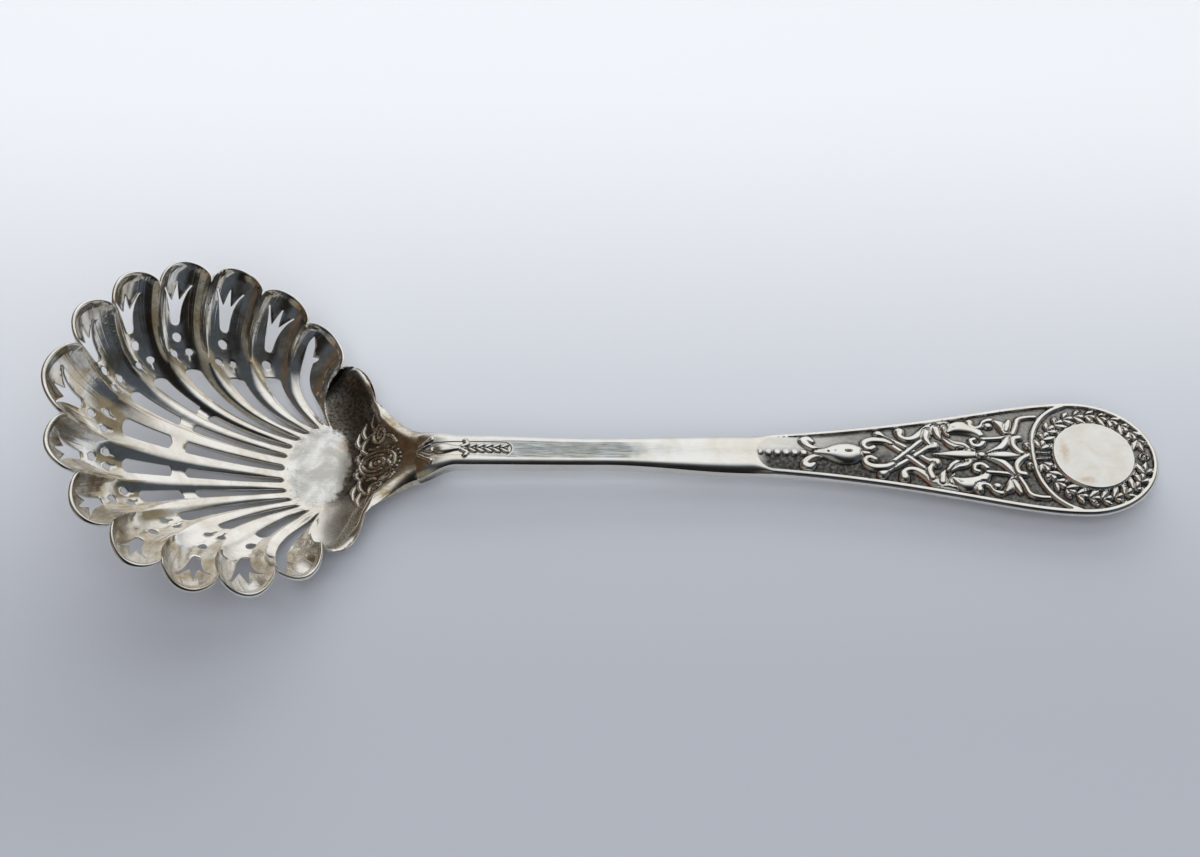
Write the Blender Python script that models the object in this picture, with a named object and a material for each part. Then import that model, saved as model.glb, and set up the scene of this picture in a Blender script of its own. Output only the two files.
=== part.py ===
"""Sugar sifter spoon: a pierced and fluted shell bowl, lapped and hard-soldered
onto a forged stem whose flat handle carries struck relief.

Metres, +Z up, +X from the bowl to the handle. The origin is on the table, under
the middle of the spoon, with the spoon lying as it rests: on the floor of the
bowl and on the underside of the handle's head.
"""
import math

import bmesh
import bpy
from mathutils import Vector, geometry, kdtree

MM = 0.001

# Driving dimensions of the whole spoon.
SPOON_LENGTH = 161.0 * MM
SHEET = 0.9 * MM               # thickness of the bowl's sheet
FIT = 0.3 * MM                 # clearance left for solder between two pieces

# The bowl, measured from its focus: the flat spot that the flutes fan out of.
RIM_HALF_LENGTH = 19.9 * MM    # ellipse through the notches between the lobes
RIM_HALF_WIDTH = 26.2 * MM
RIM_CENTRE = -12.1 * MM        # that ellipse's centre, from the focus
RIM_HEIGHT = 6.4 * MM          # height of the tilted rim, above the focus
RIM_TILT = 0.51                # rise of the rim towards the tip, per length
RIM_SAG = 0.45 * MM            # how far the rim dips on its front quarters
FLOOR_CENTRE = 2.4 * MM
FLOOR_HALF_LENGTH = 4.8 * MM   # the plain floor, where the slots end
FLOOR_HALF_WIDTH = 7.6 * MM
FLOOR_FLAT = 0.15              # share of the floor that is dead flat

# The flutes.
SIDE_FLUTES = 6                # on each side of the one at the tip
TIP_FLUTE_ANGLE = 27.9         # degrees of the rim ellipse
FLUTE_ANGLE = 21.2
FAN = 0.635                    # turn round the floor's oval for each degree round the rim
FLUTE_DEPTH = 2.2 * MM
LOBE_REACH = 0.075             # how far a lobe stands past its notches, per flute
PATTERN_FLOOR = 9.0 * MM       # on the flat blank, radius of the part that becomes the floor
PATTERN_WALL = 34.0 * MM       # on the flat blank, from there out to the notches

# The heel, where the bowl narrows to a tab that lies on the stem's tongue.
HEEL_START = 8.2 * MM
HEEL_HALF_WIDTH = 11.2 * MM
HEEL_RISE = 0.42               # slope of the heel's middle line
EAR_DEPTH = 0.8 * MM           # how far the ears are hollowed
HEEL_SWEEP = 2.2               # power of the curve in to the tab
TAB_END = 16.0 * MM
TAB_HALF_WIDTH = 3.4 * MM
DISH_FLAT = 4.0 * MM           # the heel and floor curve up beyond this half width
DISH_RADIUS = 19.2 * MM        # radius of that curve

# The piercings.
DOT_RADIUS = 0.62 * MM
COMMA_RADIUS = 0.45 * MM
SLOT_SHARE = 0.46              # slot width as a share of its flute
SLOT_INNER = 0.03              # reach of the slots' inner ends
SLOT_OUTER = 0.36              # reach of their outer ends on the flutes by the heel
SLOT_OUTER_EXTRA = 0.23        # what the flute at the tip adds to that
DOT_REACH = 0.56
DOT_REACH_EXTRA = 0.18
TULIP_GAP = 0.075              # from the dot to the tulip's base
TULIP_TIP = 0.985
COMMA_GAP = 0.083              # from the slot's end to the commas beside the dot
BRIDGE = 0.045                 # bar left across the slots nearest the tip
BRIDGE_REACH = 0.36
BRIDGE_STEP = 0.015
BRIDGED = 2                    # last flute from the tip whose slot has a bar
LONG_SLOT = 0.97               # reach of the S-shaped slots beside the ears

# The stem.
TONGUE_TIP = 9.4 * MM
TONGUE_ROUND = 12.0 * MM       # where the tongue starts to round off to its tip
TONGUE_INSET = 1.2 * MM
TONGUE_TIP_DEPTH = 0.45 * MM
TONGUE_BLUNT = 0.2 * MM        # half width left at the very tip
ROOT_DEPTH = 1.6 * MM
SOLDER_RADIUS = 0.35 * MM
NECK_LENGTH = 6.0 * MM
NECK_HALF_WIDTH = 2.5 * MM
NECK_TOP = 5.8 * MM
NECK_DEPTH = 2.7 * MM
WAIST_HALF_WIDTH = 1.9 * MM
WAIST_TOP = 5.0 * MM
WAIST_DEPTH = 2.5 * MM
EDGE_ROUND = 0.4 * MM          # how far the stem's top edges are rounded down
STEM_FLAT = 0.6                # share of the stem's width that stays flat between them

# The handle.
HANDLE_LENGTH = 60.0 * MM
HANDLE_START_HALF_WIDTH = 3.2 * MM
HANDLE_SWELL = 2.1 * MM        # widening where the taper leaves the stem
HEAD_LENGTH = 11.8 * MM        # from the widest place to the end
HEAD_HALF_WIDTH = 10.45 * MM
HEAD_SHOULDER = 10.6 * MM
HANDLE_TOP = 5.0 * MM
HEAD_TOP = 3.1 * MM
EDGE_DEPTH = 1.9 * MM
END_HALF_WIDTH = 0.3 * MM      # half width left at the very end
BORDER = 0.9 * MM              # plain border round the struck panel
BEVEL = 0.25 * MM              # along the handle's top edge
GROUND_DEPTH = 0.45 * MM       # the panel's ground lies this far below its border
GROUND_DRAFT = 0.2 * MM        # width of the slope down to it

# The relief struck in the panel. Its shapes are drawn for a panel of this size, as
# (along from the panel's start, aside from the middle line) in millimetres.
RELIEF_LENGTH = 60.0 * MM
RELIEF_HALF_WIDTH = 10.45 * MM
RELIEF_RISE = 0.75 * MM
CREST_SHARE = 0.45             # half width of a shape's flat crest, as a share of the whole
MEDALLION_RADIUS = 6.2 * MM
MEDALLION_SETBACK = 9.4 * MM   # from the handle's end to the medallion's centre
MEDALLION_RISE = 0.8 * MM
MEDALLION_DRAFT = 0.15 * MM    # how much wider its foot is than its face
WREATH_RADIUS = 7.4 * MM
WREATH_HALF_WIDTH = 0.8 * MM
CRADLE_RADIUS = 8.9 * MM
CRADLE_HALF_WIDTH = 0.42 * MM
CRADLE_SWEEP = 75.0            # degrees on each side of the middle line
BEADS = 6
BEAD_START = 1.5 * MM
BEAD_PITCH = 1.28 * MM
BEAD_RADIUS = 0.5 * MM
BEAD_GROWTH = 0.04 * MM        # by which each bead is larger than the last

# Shapes on the middle line: points, then the half width at each.
MIDDLE_SHAPES = {
    "pod": (((9.2, 0), (11.5, 0), (13.4, 0), (14.9, 0), (16.3, 0)), (0.35, 0.6, 1.0, 1.15, 0.6)),
    "palmette": (((27.2, 0), (29.5, 0), (31.5, 0), (33.4, 0)), (0.2, 0.55, 0.65, 0.5)),
    "seed": (((34.1, 0), (34.4, 0)), (0.5, 0.5)),
    "bud": (((35.3, 0), (37, 0), (38.5, 0), (39.9, 0)), (0.25, 0.5, 0.6, 0.2)),
}

# Shapes that the other half of the panel mirrors.
PAIRED_SHAPES = {
    "pod_scroll": (((10.0, 0.55), (8.5, 0.95), (7.9, 1.9), (8.2, 2.4), (8.8, 2.3)), (0.35, 0.4, 0.45, 0.5, 0.5)),
    "volute": (((20.2, 2.1), (18.2, 2.5), (17.0, 1.9), (17.2, 1.0), (18.0, 1.1)), (0.4, 0.5, 0.5, 0.45, 0.45)),
    "strap": (((19.4, 3.3), (21.3, 3.1), (23.8, 1.45), (25.3, 0), (26.6, -1.2), (27.5, -1.6)),
              (0.65, 0.38, 0.36, 0.36, 0.38, 0.65)),
    "strap_to_leaf": (((20.2, 2.1), (22.4, 0), (23.8, -1.45), (25.4, -3.0)), (0.38, 0.36, 0.36, 0.38)),
    "leaf_scroll": (((22.5, 3.8), (23.3, 3.1), (24.9, 3.1), (27.2, 4.4), (29.8, 5.3), (32.2, 5.5), (34.1, 4.8),
                     (35.0, 3.6), (34.5, 2.5), (33.4, 2.4), (33.2, 3.2), (33.8, 3.5)),
                    (0.65, 0.4, 0.45, 0.7, 0.85, 0.8, 0.6, 0.5, 0.45, 0.4, 0.38, 0.38)),
    "leaf_lobe": (((28.6, 4.5), (29.2, 3.5), (30.2, 2.9)), (0.55, 0.45, 0.2)),
    "leaf_lobe_end": (((31.0, 4.6), (31.6, 3.8), (32.2, 3.4)), (0.5, 0.4, 0.2)),
    "petal": (((28.9, 1.5), (31.0, 1.1), (33.2, 0.6)), (0.2, 0.45, 0.35)),
    "petal_outer": (((28.7, 2.6), (30.6, 2.0), (32.8, 1.1)), (0.2, 0.42, 0.3)),
    "curl": (((33.3, 6.3), (34.3, 5.7), (35.4, 6.2), (36.2, 5.7)), (0.55, 0.35, 0.35, 0.55)),
    "stalk": (((35.8, 6.6), (37.2, 6.6), (38.3, 5.3), (38.5, 3.7)), (0.3, 0.4, 0.6, 0.35)),
    "band": (((34.9, 3.1), (36.9, 3.1), (38.7, 3.1)), (0.35, 0.35, 0.35)),
    "bud_arm": (((35.1, 0.6), (36.6, 1.2), (38.4, 2.5), (39.9, 0.9)), (0.3, 0.38, 0.4, 0.3)),
    "bracket": (((43.2, 1.2), (41.9, 0.6), (40.7, 1.2), (40.3, 2.4), (41.0, 2.6)), (0.35, 0.4, 0.42, 0.5, 0.5)),
    "corner_leaf": (((39.4, 3.6), (40.2, 5.2), (41.3, 6.6), (43.4, 7.2)), (0.4, 0.7, 0.5, 0.35)),
}

# Facets.
FLUTE_FACETS = 4
LOBE_FACETS = 6
FLUTE_RINGS = 12
EAR_FACETS = 6
FLOOR_RING = 0.5               # share of the floor at which its inner points lie
FLARE_FACETS = 5
TAB_FACETS = 2
HEEL_FACETS = EAR_FACETS + FLARE_FACETS + TAB_FACETS
FACET_GAP = 0.7 * MM           # least distance on the blank from a hole to a free point
SEAM_STEPS = 12
UPPER_POINTS = 4               # points of a stem section that lie on its upper side
PANEL_FACETS = 40              # along the ground's edge, on each side
RING_FACETS = 40
END_FACETS = 3                 # round the end of a relief shape

# Kinds of result asked of the triangulation: the inside of the outlines, or that less the holes.
INSIDE = 1
INSIDE_WITH_HOLES = 2
WELD = 0.001 * MM
NORMAL_STEP = 0.05 * MM        # on the blank, to either side of a place
PANEL_MERGE = 0.02 * MM        # points of the panel closer than this become one

# Angles of the rim's notches and the flutes between them, from the tip round.
NOTCHES = [TIP_FLUTE_ANGLE / 2 + FLUTE_ANGLE * k for k in range(SIDE_FLUTES + 1)]
LAST_NOTCH = NOTCHES[-1]
LAST_TURN = FAN * LAST_NOTCH


def clear_scene():
    for item in list(bpy.data.objects):
        bpy.data.objects.remove(item, do_unlink=True)


def new_collection(name):
    collection = bpy.data.collections.new(name)
    bpy.context.scene.collection.children.link(collection)
    return collection


def metal(name, colour, roughness):
    material = bpy.data.materials.new(name)
    material.use_nodes = True
    shader = material.node_tree.nodes["Principled BSDF"]
    shader.inputs["Base Color"].default_value = (*colour, 1.0)
    shader.inputs["Metallic"].default_value = 1.0
    shader.inputs["Roughness"].default_value = roughness
    return material


def add_object(name, bm, collection, material=None):
    mesh = bpy.data.meshes.new(name)
    bm.to_mesh(mesh)
    bm.free()
    item = bpy.data.objects.new(name, mesh)
    collection.objects.link(item)
    if material:
        mesh.materials.append(material)
    return item


def grid_of_points(columns, rows, place):
    """A grid of columns by rows of faces, with each point put at place(column, row)."""
    bm = bmesh.new()
    bmesh.ops.create_grid(bm, x_segments=columns, y_segments=rows, size=1.0)
    for vertex in bm.verts:
        column = round((vertex.co.x + 1.0) / 2.0 * columns)
        row = round((vertex.co.y + 1.0) / 2.0 * rows)
        vertex.co = place(column, row)
    return bm


def point_finder(places):
    """A search tree over points of a plan."""
    tree = kdtree.KDTree(len(places))
    for index, place in enumerate(places):
        tree.insert((place.x, place.y, 0), index)
    tree.balance()
    return tree


def bezier(start, middle, end, t):
    return start * (1 - t) ** 2 + middle * (2 * t * (1 - t)) + end * t ** 2


# The bowl's surface.

def eased_ramp(distance, blend):
    """Zero before -blend, the distance itself after blend, and a parabola between."""
    if distance <= -blend:
        return 0.0
    if distance >= blend:
        return distance
    return (distance + blend) ** 2 / (4 * blend)


def floor_height(x, y):
    """Upper face of the bowl's floor and heel, x and y from the focus."""
    flat_end = FLOOR_CENTRE + FLOOR_FLAT * FLOOR_HALF_LENGTH
    blend = (HEEL_START - flat_end) / 2
    rise = HEEL_RISE * eased_ramp(x - flat_end - blend, blend)
    side = max(abs(y) - DISH_FLAT, 0.0)
    return SHEET + rise + side ** 2 / (2 * DISH_RADIUS)


def floor_point(angle, share=1.0):
    """On the oval of the plain floor; angle in degrees from the tip's side."""
    turn = math.radians(angle)
    x = FLOOR_CENTRE - share * FLOOR_HALF_LENGTH * math.cos(turn)
    y = share * FLOOR_HALF_WIDTH * math.sin(turn)
    return Vector((x, y, floor_height(x, y)))


def rim_point(angle):
    """On the line through the rim's notches; angle in degrees from the tip."""
    turn = math.radians(angle)
    x = RIM_CENTRE - RIM_HALF_LENGTH * math.cos(turn)
    y = RIM_HALF_WIDTH * math.sin(turn)
    dip = RIM_SAG * math.sin(2 * abs(turn))
    return Vector((x, y, RIM_HEIGHT - RIM_TILT * x - dip))


def ridge_bend(angle):
    """Middle control point of a ridge, which sweeps outwards as it climbs."""
    turn = math.radians(angle)
    end = rim_point(angle)
    forward = max(math.cos(turn), 0.0) ** 3
    side = abs(math.sin(turn))
    back = max(-math.cos(turn), 0.0)
    x = end.x + RIM_HALF_LENGTH * (0.14 * forward - 0.27 * side - 0.37 * back + 0.40 * back ** 2)
    y = (0.465 + 0.475 * back) * end.y
    return Vector((x, y, (0.40 - 0.10 * side ** 2 - 0.115 * back) * end.z))


def ridge_point(angle, reach):
    """Reach is 0 at the floor's edge and 1 at the notches of the rim."""
    return bezier(floor_point(FAN * angle), ridge_bend(angle), rim_point(angle), reach)


def flute_limits(angle):
    """The two notch angles on either side."""
    size = abs(angle)
    if size <= NOTCHES[0]:
        return -NOTCHES[0], NOTCHES[0]
    index = min(int((size - NOTCHES[0]) / FLUTE_ANGLE), SIDE_FLUTES - 1)
    low, high = NOTCHES[index], NOTCHES[index + 1]
    return (low, high) if angle > 0 else (-high, -low)


def across_flute(angle):
    low, high = flute_limits(angle)
    return min(max((angle - low) / (high - low), 0.0), 1.0)


def outward(angle, reach):
    """Unit normal on the lower side of the surface that carries the ridges."""
    along = ridge_point(angle, reach + 0.002) - ridge_point(angle, reach - 0.002)
    around = ridge_point(angle + 0.2, reach) - ridge_point(angle - 0.2, reach)
    normal = along.cross(around).normalized()
    return normal if normal.z < 0 else -normal


def flute_point(angle, reach):
    """On the fluted sheet's upper face, between two ridges."""
    hollow = math.sin(math.pi * across_flute(angle)) ** 0.8
    depth = FLUTE_DEPTH * max(reach, 0.0) ** 1.3 * hollow
    return ridge_point(angle, reach) + outward(angle, reach) * depth


def lobe_end(angle):
    """Reach of the rim itself: 1 in a notch, more across the round of a lobe."""
    place = 2 * across_flute(angle) - 1
    return 1 + LOBE_REACH * math.sqrt(max(1 - place ** 2, 0.0))


# The heel's outline, from the last notch round the ear and in to the tab.

def heel_half_width(x):
    share = (TAB_END - x) / (TAB_END - HEEL_START)
    return TAB_HALF_WIDTH + (HEEL_HALF_WIDTH - TAB_HALF_WIDTH) * max(share, 0.0) ** HEEL_SWEEP


def ear_edge(share):
    notch = rim_point(LAST_NOTCH)
    turn = share * math.pi / 2
    x = notch.x + (HEEL_START - notch.x) * math.sin(turn)
    y = HEEL_HALF_WIDTH + (notch.y - HEEL_HALF_WIDTH) * math.cos(turn)
    heel_edge = floor_height(HEEL_START, HEEL_HALF_WIDTH)
    z = notch.z + (heel_edge - notch.z) * math.sin(turn)
    return Vector((x, y, z))


def flare_edge(share):
    x = HEEL_START + (TAB_END - HEEL_START) * share
    y = heel_half_width(x)
    return Vector((x, y, floor_height(x, y)))


def tab_edge(share):
    y = TAB_HALF_WIDTH * (1 - share)
    return Vector((TAB_END, y, floor_height(TAB_END, y)))


def heel_edge(share):
    """The heel's edge, share from 0 at the last notch to 1 on the middle line."""
    number = share * HEEL_FACETS
    if number <= EAR_FACETS:
        return ear_edge(number / EAR_FACETS)
    number -= EAR_FACETS
    if number <= FLARE_FACETS:
        return flare_edge(number / FLARE_FACETS)
    return tab_edge((number - FLARE_FACETS) / TAB_FACETS)


def ear_round(turn):
    """One in the middle of an ear, falling to nothing at its ends."""
    share = (abs(turn) - LAST_TURN) / (180 - LAST_TURN) * HEEL_FACETS / EAR_FACETS
    return math.sin(math.pi * min(max(share, 0.0), 1.0))


def heel_point(turn, reach):
    """Between the floor's edge and the heel's edge; turn in degrees on the floor's oval."""
    share = (abs(turn) - LAST_TURN) / (180 - LAST_TURN)
    edge = heel_edge(min(share, 1.0))
    start = floor_point(abs(turn))
    lifted = bezier(start, ridge_bend(LAST_NOTCH), edge, reach)
    straight = start.lerp(edge, reach)
    straight.z = floor_height(straight.x, straight.y) + (edge.z - floor_height(edge.x, edge.y)) * reach
    point = lifted.lerp(straight, min(share * HEEL_FACETS / EAR_FACETS, 1.0))
    hollow = EAR_DEPTH * ear_round(turn) * max(reach, 0.0) ** 1.3
    return Vector((point.x, math.copysign(point.y + 0.6 * hollow, turn), point.z - 0.8 * hollow))


# The bowl's flat blank, which is pierced first and then raised to the shell.

def blank_point(turn, reach):
    """Turn is the place round the floor's oval, in degrees from the tip's side."""
    radius = PATTERN_FLOOR + PATTERN_WALL * reach
    return Vector((-radius * math.cos(math.radians(turn)), radius * math.sin(math.radians(turn))))


def raised(place):
    """Where a place on the blank goes on the shell's upper face."""
    turn = math.degrees(math.atan2(place.y, -place.x))
    if place.length <= PATTERN_FLOOR:
        return floor_point(turn, place.length / PATTERN_FLOOR)
    reach = (place.length - PATTERN_FLOOR) / PATTERN_WALL
    if abs(turn) <= LAST_TURN:
        return flute_point(turn / FAN, reach)
    return heel_point(turn, reach)


def underside(place):
    """The point of the shell's lower face below a place on the blank."""
    step = Vector((NORMAL_STEP, 0)), Vector((0, NORMAL_STEP))
    along = raised(place + step[0]) - raised(place - step[0])
    across = raised(place + step[1]) - raised(place - step[1])
    return raised(place) - along.cross(across).normalized() * SHEET


def heel_turns():
    """Places round the floor's oval of the heel's facets, from one ear to the other."""
    step = (180 - LAST_TURN) / HEEL_FACETS
    half = [LAST_TURN + step * k for k in range(1, HEEL_FACETS + 1)]
    return half + [-turn for turn in reversed(half[:-1])]


def flute_turns(facets):
    """Places round the floor's oval of the flutes' facets, from one ear to the other."""
    limits = [-angle for angle in reversed(NOTCHES)] + NOTCHES
    turns = [FAN * (low + (high - low) * k / facets)
             for low, high in zip(limits, limits[1:]) for k in range(facets)]
    return turns + [LAST_TURN]


def rim_outline():
    lobes = [blank_point(turn, lobe_end(turn / FAN)) for turn in flute_turns(LOBE_FACETS)]
    return lobes + [blank_point(turn, 1 + LOBE_REACH * ear_round(turn)) for turn in heel_turns()]


def ridge_lines():
    """The ridge between each two flutes, from the floor's edge to just short of its notch."""
    notches = [-angle for angle in reversed(NOTCHES)] + NOTCHES
    return [[blank_point(FAN * notch, ring / FLUTE_RINGS) for ring in range(FLUTE_RINGS)] for notch in notches]


def free_points():
    """Points of the blank inside its outline, in rings."""
    points = [Vector((0, 0))]
    for turn in flute_turns(FLUTE_FACETS) + heel_turns():
        points.append(blank_point(turn, 0.0))
        points.append(blank_point(turn, 0.0) * FLOOR_RING)
        for ring in range(1, FLUTE_RINGS):
            points.append(blank_point(turn, ring / FLUTE_RINGS))
    return points


def build_bowl(focus):
    """The pierced blank, triangulated flat, given its thickness and raised point by point."""
    outlines = [rim_outline()]
    for number in range(-SIDE_FLUTES, SIDE_FLUTES + 1):
        for outline in flute_outlines(number):
            turns = [(FAN * flute_angle(number, across), reach) for across, reach in outline]
            outlines.append([blank_point(turn, reach) for turn, reach in turns])
    ridges = ridge_lines()
    fixed = [point for line in outlines + ridges for point in line]
    nearby = point_finder(fixed)
    points = list(fixed)
    for point in free_points():
        if nearby.find((point.x, point.y, 0))[2] > FACET_GAP:
            points.append(point)
    loops = []
    for line in outlines + ridges:
        first = sum(len(loop) for loop in loops)
        loops.append(list(range(first, first + len(line))))
    creases = [pair for loop in loops[len(outlines):] for pair in zip(loop, loop[1:])]
    loops = loops[:len(outlines)]
    places, _, faces, *_ = geometry.delaunay_2d_cdt(points, creases, loops, INSIDE_WITH_HOLES, WELD)
    mesh = bpy.data.meshes.new("blank")
    mesh.from_pydata([place.to_3d() for place in places], [], faces)
    bm = bmesh.new()
    bm.from_mesh(mesh)
    bpy.data.meshes.remove(mesh)
    bmesh.ops.delete(bm, geom=[v for v in bm.verts if not v.link_faces], context="VERTS")
    upper = bm.verts[:]
    extruded = bmesh.ops.extrude_face_region(bm, geom=bm.faces[:], use_keep_orig=True)
    lower = [item for item in extruded["geom"] if isinstance(item, bmesh.types.BMVert)]
    for vertices, shape in ((upper, raised), (lower, underside)):
        for vertex in vertices:
            vertex.co = shape(vertex.co.to_2d()) + focus
    bmesh.ops.recalc_face_normals(bm, faces=bm.faces)
    return bm


# The piercings: closed outlines on one flute, as (share across, reach).

def slot_start(number):
    """Reach of the slots' outer ends, further out on the flutes nearest the tip."""
    return SLOT_OUTER + SLOT_OUTER_EXTRA * towards_tip(number)


def towards_tip(number):
    """One on the flute at the tip, falling to nothing on the flutes by the heel."""
    return math.cos(math.radians(90 * number / SIDE_FLUTES))


def slot_outline(start, end, corners=3, steps=4):
    """A long slot that narrows with its flute, with round ends."""
    half = SLOT_SHARE / 2
    round_outer = 0.030
    round_inner = 0.018
    outer = start - round_outer
    inner = end + round_inner
    sides = [outer + (inner - outer) * k / steps for k in range(1, steps)]
    points = []
    for k in range(corners + 1):
        turn = math.pi * k / corners
        points.append((0.5 - half * math.cos(turn), outer + round_outer * math.sin(turn)))
    points += [(0.5 + half, reach) for reach in sides]
    for k in range(corners + 1):
        turn = math.pi * k / corners
        points.append((0.5 + half * math.cos(turn), inner - round_inner * math.sin(turn)))
    points += [(0.5 - half, reach) for reach in reversed(sides)]
    return points


def round_outline(number, across, reach, radius, sides, tail=0.0):
    """A round hole, drawn out to a tail towards the slot for a comma."""
    angle = flute_angle(number, across)
    scale_a = (flute_point(angle + 0.5, reach) - flute_point(angle - 0.5, reach)).length
    scale_r = (flute_point(angle, reach + 0.01) - flute_point(angle, reach - 0.01)).length / 0.02
    low, high = number_limits(number)
    wide = radius / scale_a / (high - low)
    long = radius / scale_r
    points = []
    for k in range(sides):
        turn = 2 * math.pi * (k + 0.5) / sides
        down = min(math.sin(turn), 0.0)
        points.append((across + wide * math.cos(turn), reach + long * (math.sin(turn) + tail * down)))
    return points


def tulip_outline(base, tip):
    """A flower of three petals, wider towards the rim."""
    height = tip - base
    shape = [(0.50, 0.00), (0.42, 0.06), (0.41, 0.45), (0.26, 0.94), (0.33, 0.97),
             (0.45, 0.66), (0.49, 1.00), (0.54, 0.66), (0.70, 0.90), (0.75, 0.84),
             (0.60, 0.45), (0.58, 0.06)]
    return [(across, base + height * up) for across, up in shape]


def long_slot_outline(start):
    """The slot of the flutes beside the ears, one S from the rim to the floor."""
    return [(0.17, start), (0.17, start - 0.07), (0.21, 0.78), (0.21, 0.60), (0.22, 0.42), (0.29, 0.27),
            (0.45, 0.15), (0.62, 0.05), (0.76, 0.05), (0.86, 0.14), (0.84, 0.26), (0.68, 0.40), (0.52, 0.52),
            (0.45, 0.68), (0.44, 0.77), (0.50, 0.84), (0.38, 0.825), (0.30, 0.91), (0.22, start)]


def number_limits(number):
    """Notch angles of a flute counted from the tip's, negative on the -Y side."""
    if number == 0:
        return -NOTCHES[0], NOTCHES[0]
    low, high = NOTCHES[abs(number) - 1], NOTCHES[abs(number)]
    return (low, high) if number > 0 else (-high, -low)


def flute_angle(number, across):
    low, high = number_limits(number)
    return low + (high - low) * (across if number >= 0 else 1 - across)


def flute_outlines(number):
    """Every hole of one flute, by its place counted from the tip's."""
    place = abs(number)
    if place == SIDE_FLUTES:
        return [long_slot_outline(LONG_SLOT)]
    start = slot_start(place)
    dot = DOT_REACH + DOT_REACH_EXTRA * towards_tip(place)
    outlines = [round_outline(number, 0.5, dot, DOT_RADIUS, 8), tulip_outline(dot + TULIP_GAP, TULIP_TIP)]
    if place <= BRIDGED:
        bridge = BRIDGE_REACH - BRIDGE_STEP * place
        outlines.append(slot_outline(start, bridge + BRIDGE / 2))
        outlines.append(slot_outline(bridge - BRIDGE / 2, SLOT_INNER))
    else:
        outlines.append(slot_outline(start, SLOT_INNER))
    if place < SIDE_FLUTES - 1:
        for across in (0.32, 0.68):
            outlines.append(round_outline(number, across, start + COMMA_GAP, COMMA_RADIUS, 7, tail=0.8))
    return outlines


# The stem, in sections along X measured from the bowl's focus.

def sheet_underside(x, y):
    return floor_height(x, y) - SHEET * math.sqrt(1 + HEEL_RISE ** 2)


def tongue_half_width(x):
    width = heel_half_width(x) - TONGUE_INSET
    if x < TONGUE_ROUND:
        share = (TONGUE_ROUND - x) / (TONGUE_ROUND - TONGUE_TIP)
        width *= math.sqrt(max(1 - share ** 2, 0.0))
    return width


def tongue_section(x):
    share = (x - TONGUE_TIP) / (TAB_END - TONGUE_TIP)
    depth = TONGUE_TIP_DEPTH + (ROOT_DEPTH - TONGUE_TIP_DEPTH) * min(share, 1.0)
    half = max(tongue_half_width(min(x, TAB_END)), TONGUE_BLUNT)
    points = []
    for part in (-1, -0.35, 0.35, 1):
        y = half * part
        points.append((x, y, sheet_underside(x, y) - FIT))
    for part in (1, 0.7, 0.3, -0.3, -0.7, -1):
        y = half * part
        lower = depth * (1 - 0.6 * part ** 4)
        points.append((x, y, sheet_underside(x, y) - FIT - lower))
    return points


def handle_half_width(x, end):
    """Outline of the handle: a swept taper, then the round of the head."""
    start = end - HANDLE_LENGTH
    wide = end - HEAD_LENGTH
    if x >= wide:
        return HEAD_HALF_WIDTH * math.sqrt(max(1 - ((x - wide) / HEAD_LENGTH) ** 2, 0.0))
    low, high = 0.0, 1.0
    for _ in range(40):
        t = (low + high) / 2
        along = cubic(start, start + 0.58 * (wide - start), wide - HEAD_SHOULDER, wide, t)
        low, high = (t, high) if along < x else (low, t)
    swell = HANDLE_START_HALF_WIDTH + HANDLE_SWELL
    return cubic(HANDLE_START_HALF_WIDTH, swell, HEAD_HALF_WIDTH, HEAD_HALF_WIDTH, t)


def cubic(a, b, c, d, t):
    return a * (1 - t) ** 3 + 3 * b * t * (1 - t) ** 2 + 3 * c * t * t * (1 - t) + d * t ** 3


def smooth(share):
    share = min(max(share, 0.0), 1.0)
    return share * share * (3 - 2 * share)


def between(x, keys):
    """Smooth value at x from (x, value) keys."""
    for (x0, v0), (x1, v1) in zip(keys, keys[1:]):
        if x <= x1:
            return v0 + (v1 - v0) * smooth((x - x0) / (x1 - x0))
    return keys[-1][1]


def tab_lean():
    """How far the tab's end leans towards the handle, from its upper to its lower edge."""
    return SHEET * HEEL_RISE / math.sqrt(1 + HEEL_RISE ** 2)


def stem_keys(end):
    """Named stations along the stem: root, neck, waist, handle start, head."""
    neck = TAB_END + NECK_LENGTH
    start = end - HANDLE_LENGTH
    waist = (neck + start) / 2
    return TAB_END + FIT, neck, waist, start, end - HEAD_LENGTH


def stem_top(x, end):
    root, neck, waist, start, wide = stem_keys(end)
    keys = [(root, floor_height(TAB_END, 0)), (neck, NECK_TOP), (waist, WAIST_TOP),
            (start, HANDLE_TOP), (wide, HEAD_TOP)]
    return between(x, keys)


def stem_bottom(x, end):
    root, neck, waist, start, wide = stem_keys(end)
    root_bottom = sheet_underside(TAB_END, 0) - FIT - ROOT_DEPTH
    keys = [(root, root_bottom), (neck, NECK_TOP - NECK_DEPTH), (waist, WAIST_TOP - WAIST_DEPTH),
            (start, HANDLE_TOP - WAIST_DEPTH), (wide, 0.0)]
    return between(x, keys)


def stem_half_width(x, end):
    root, neck, waist, start, _ = stem_keys(end)
    if x > start:
        return handle_half_width(x, end)
    keys = [(root, TAB_HALF_WIDTH), (neck, NECK_HALF_WIDTH), (waist, WAIST_HALF_WIDTH),
            (start, HANDLE_START_HALF_WIDTH)]
    return between(x, keys)


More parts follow.
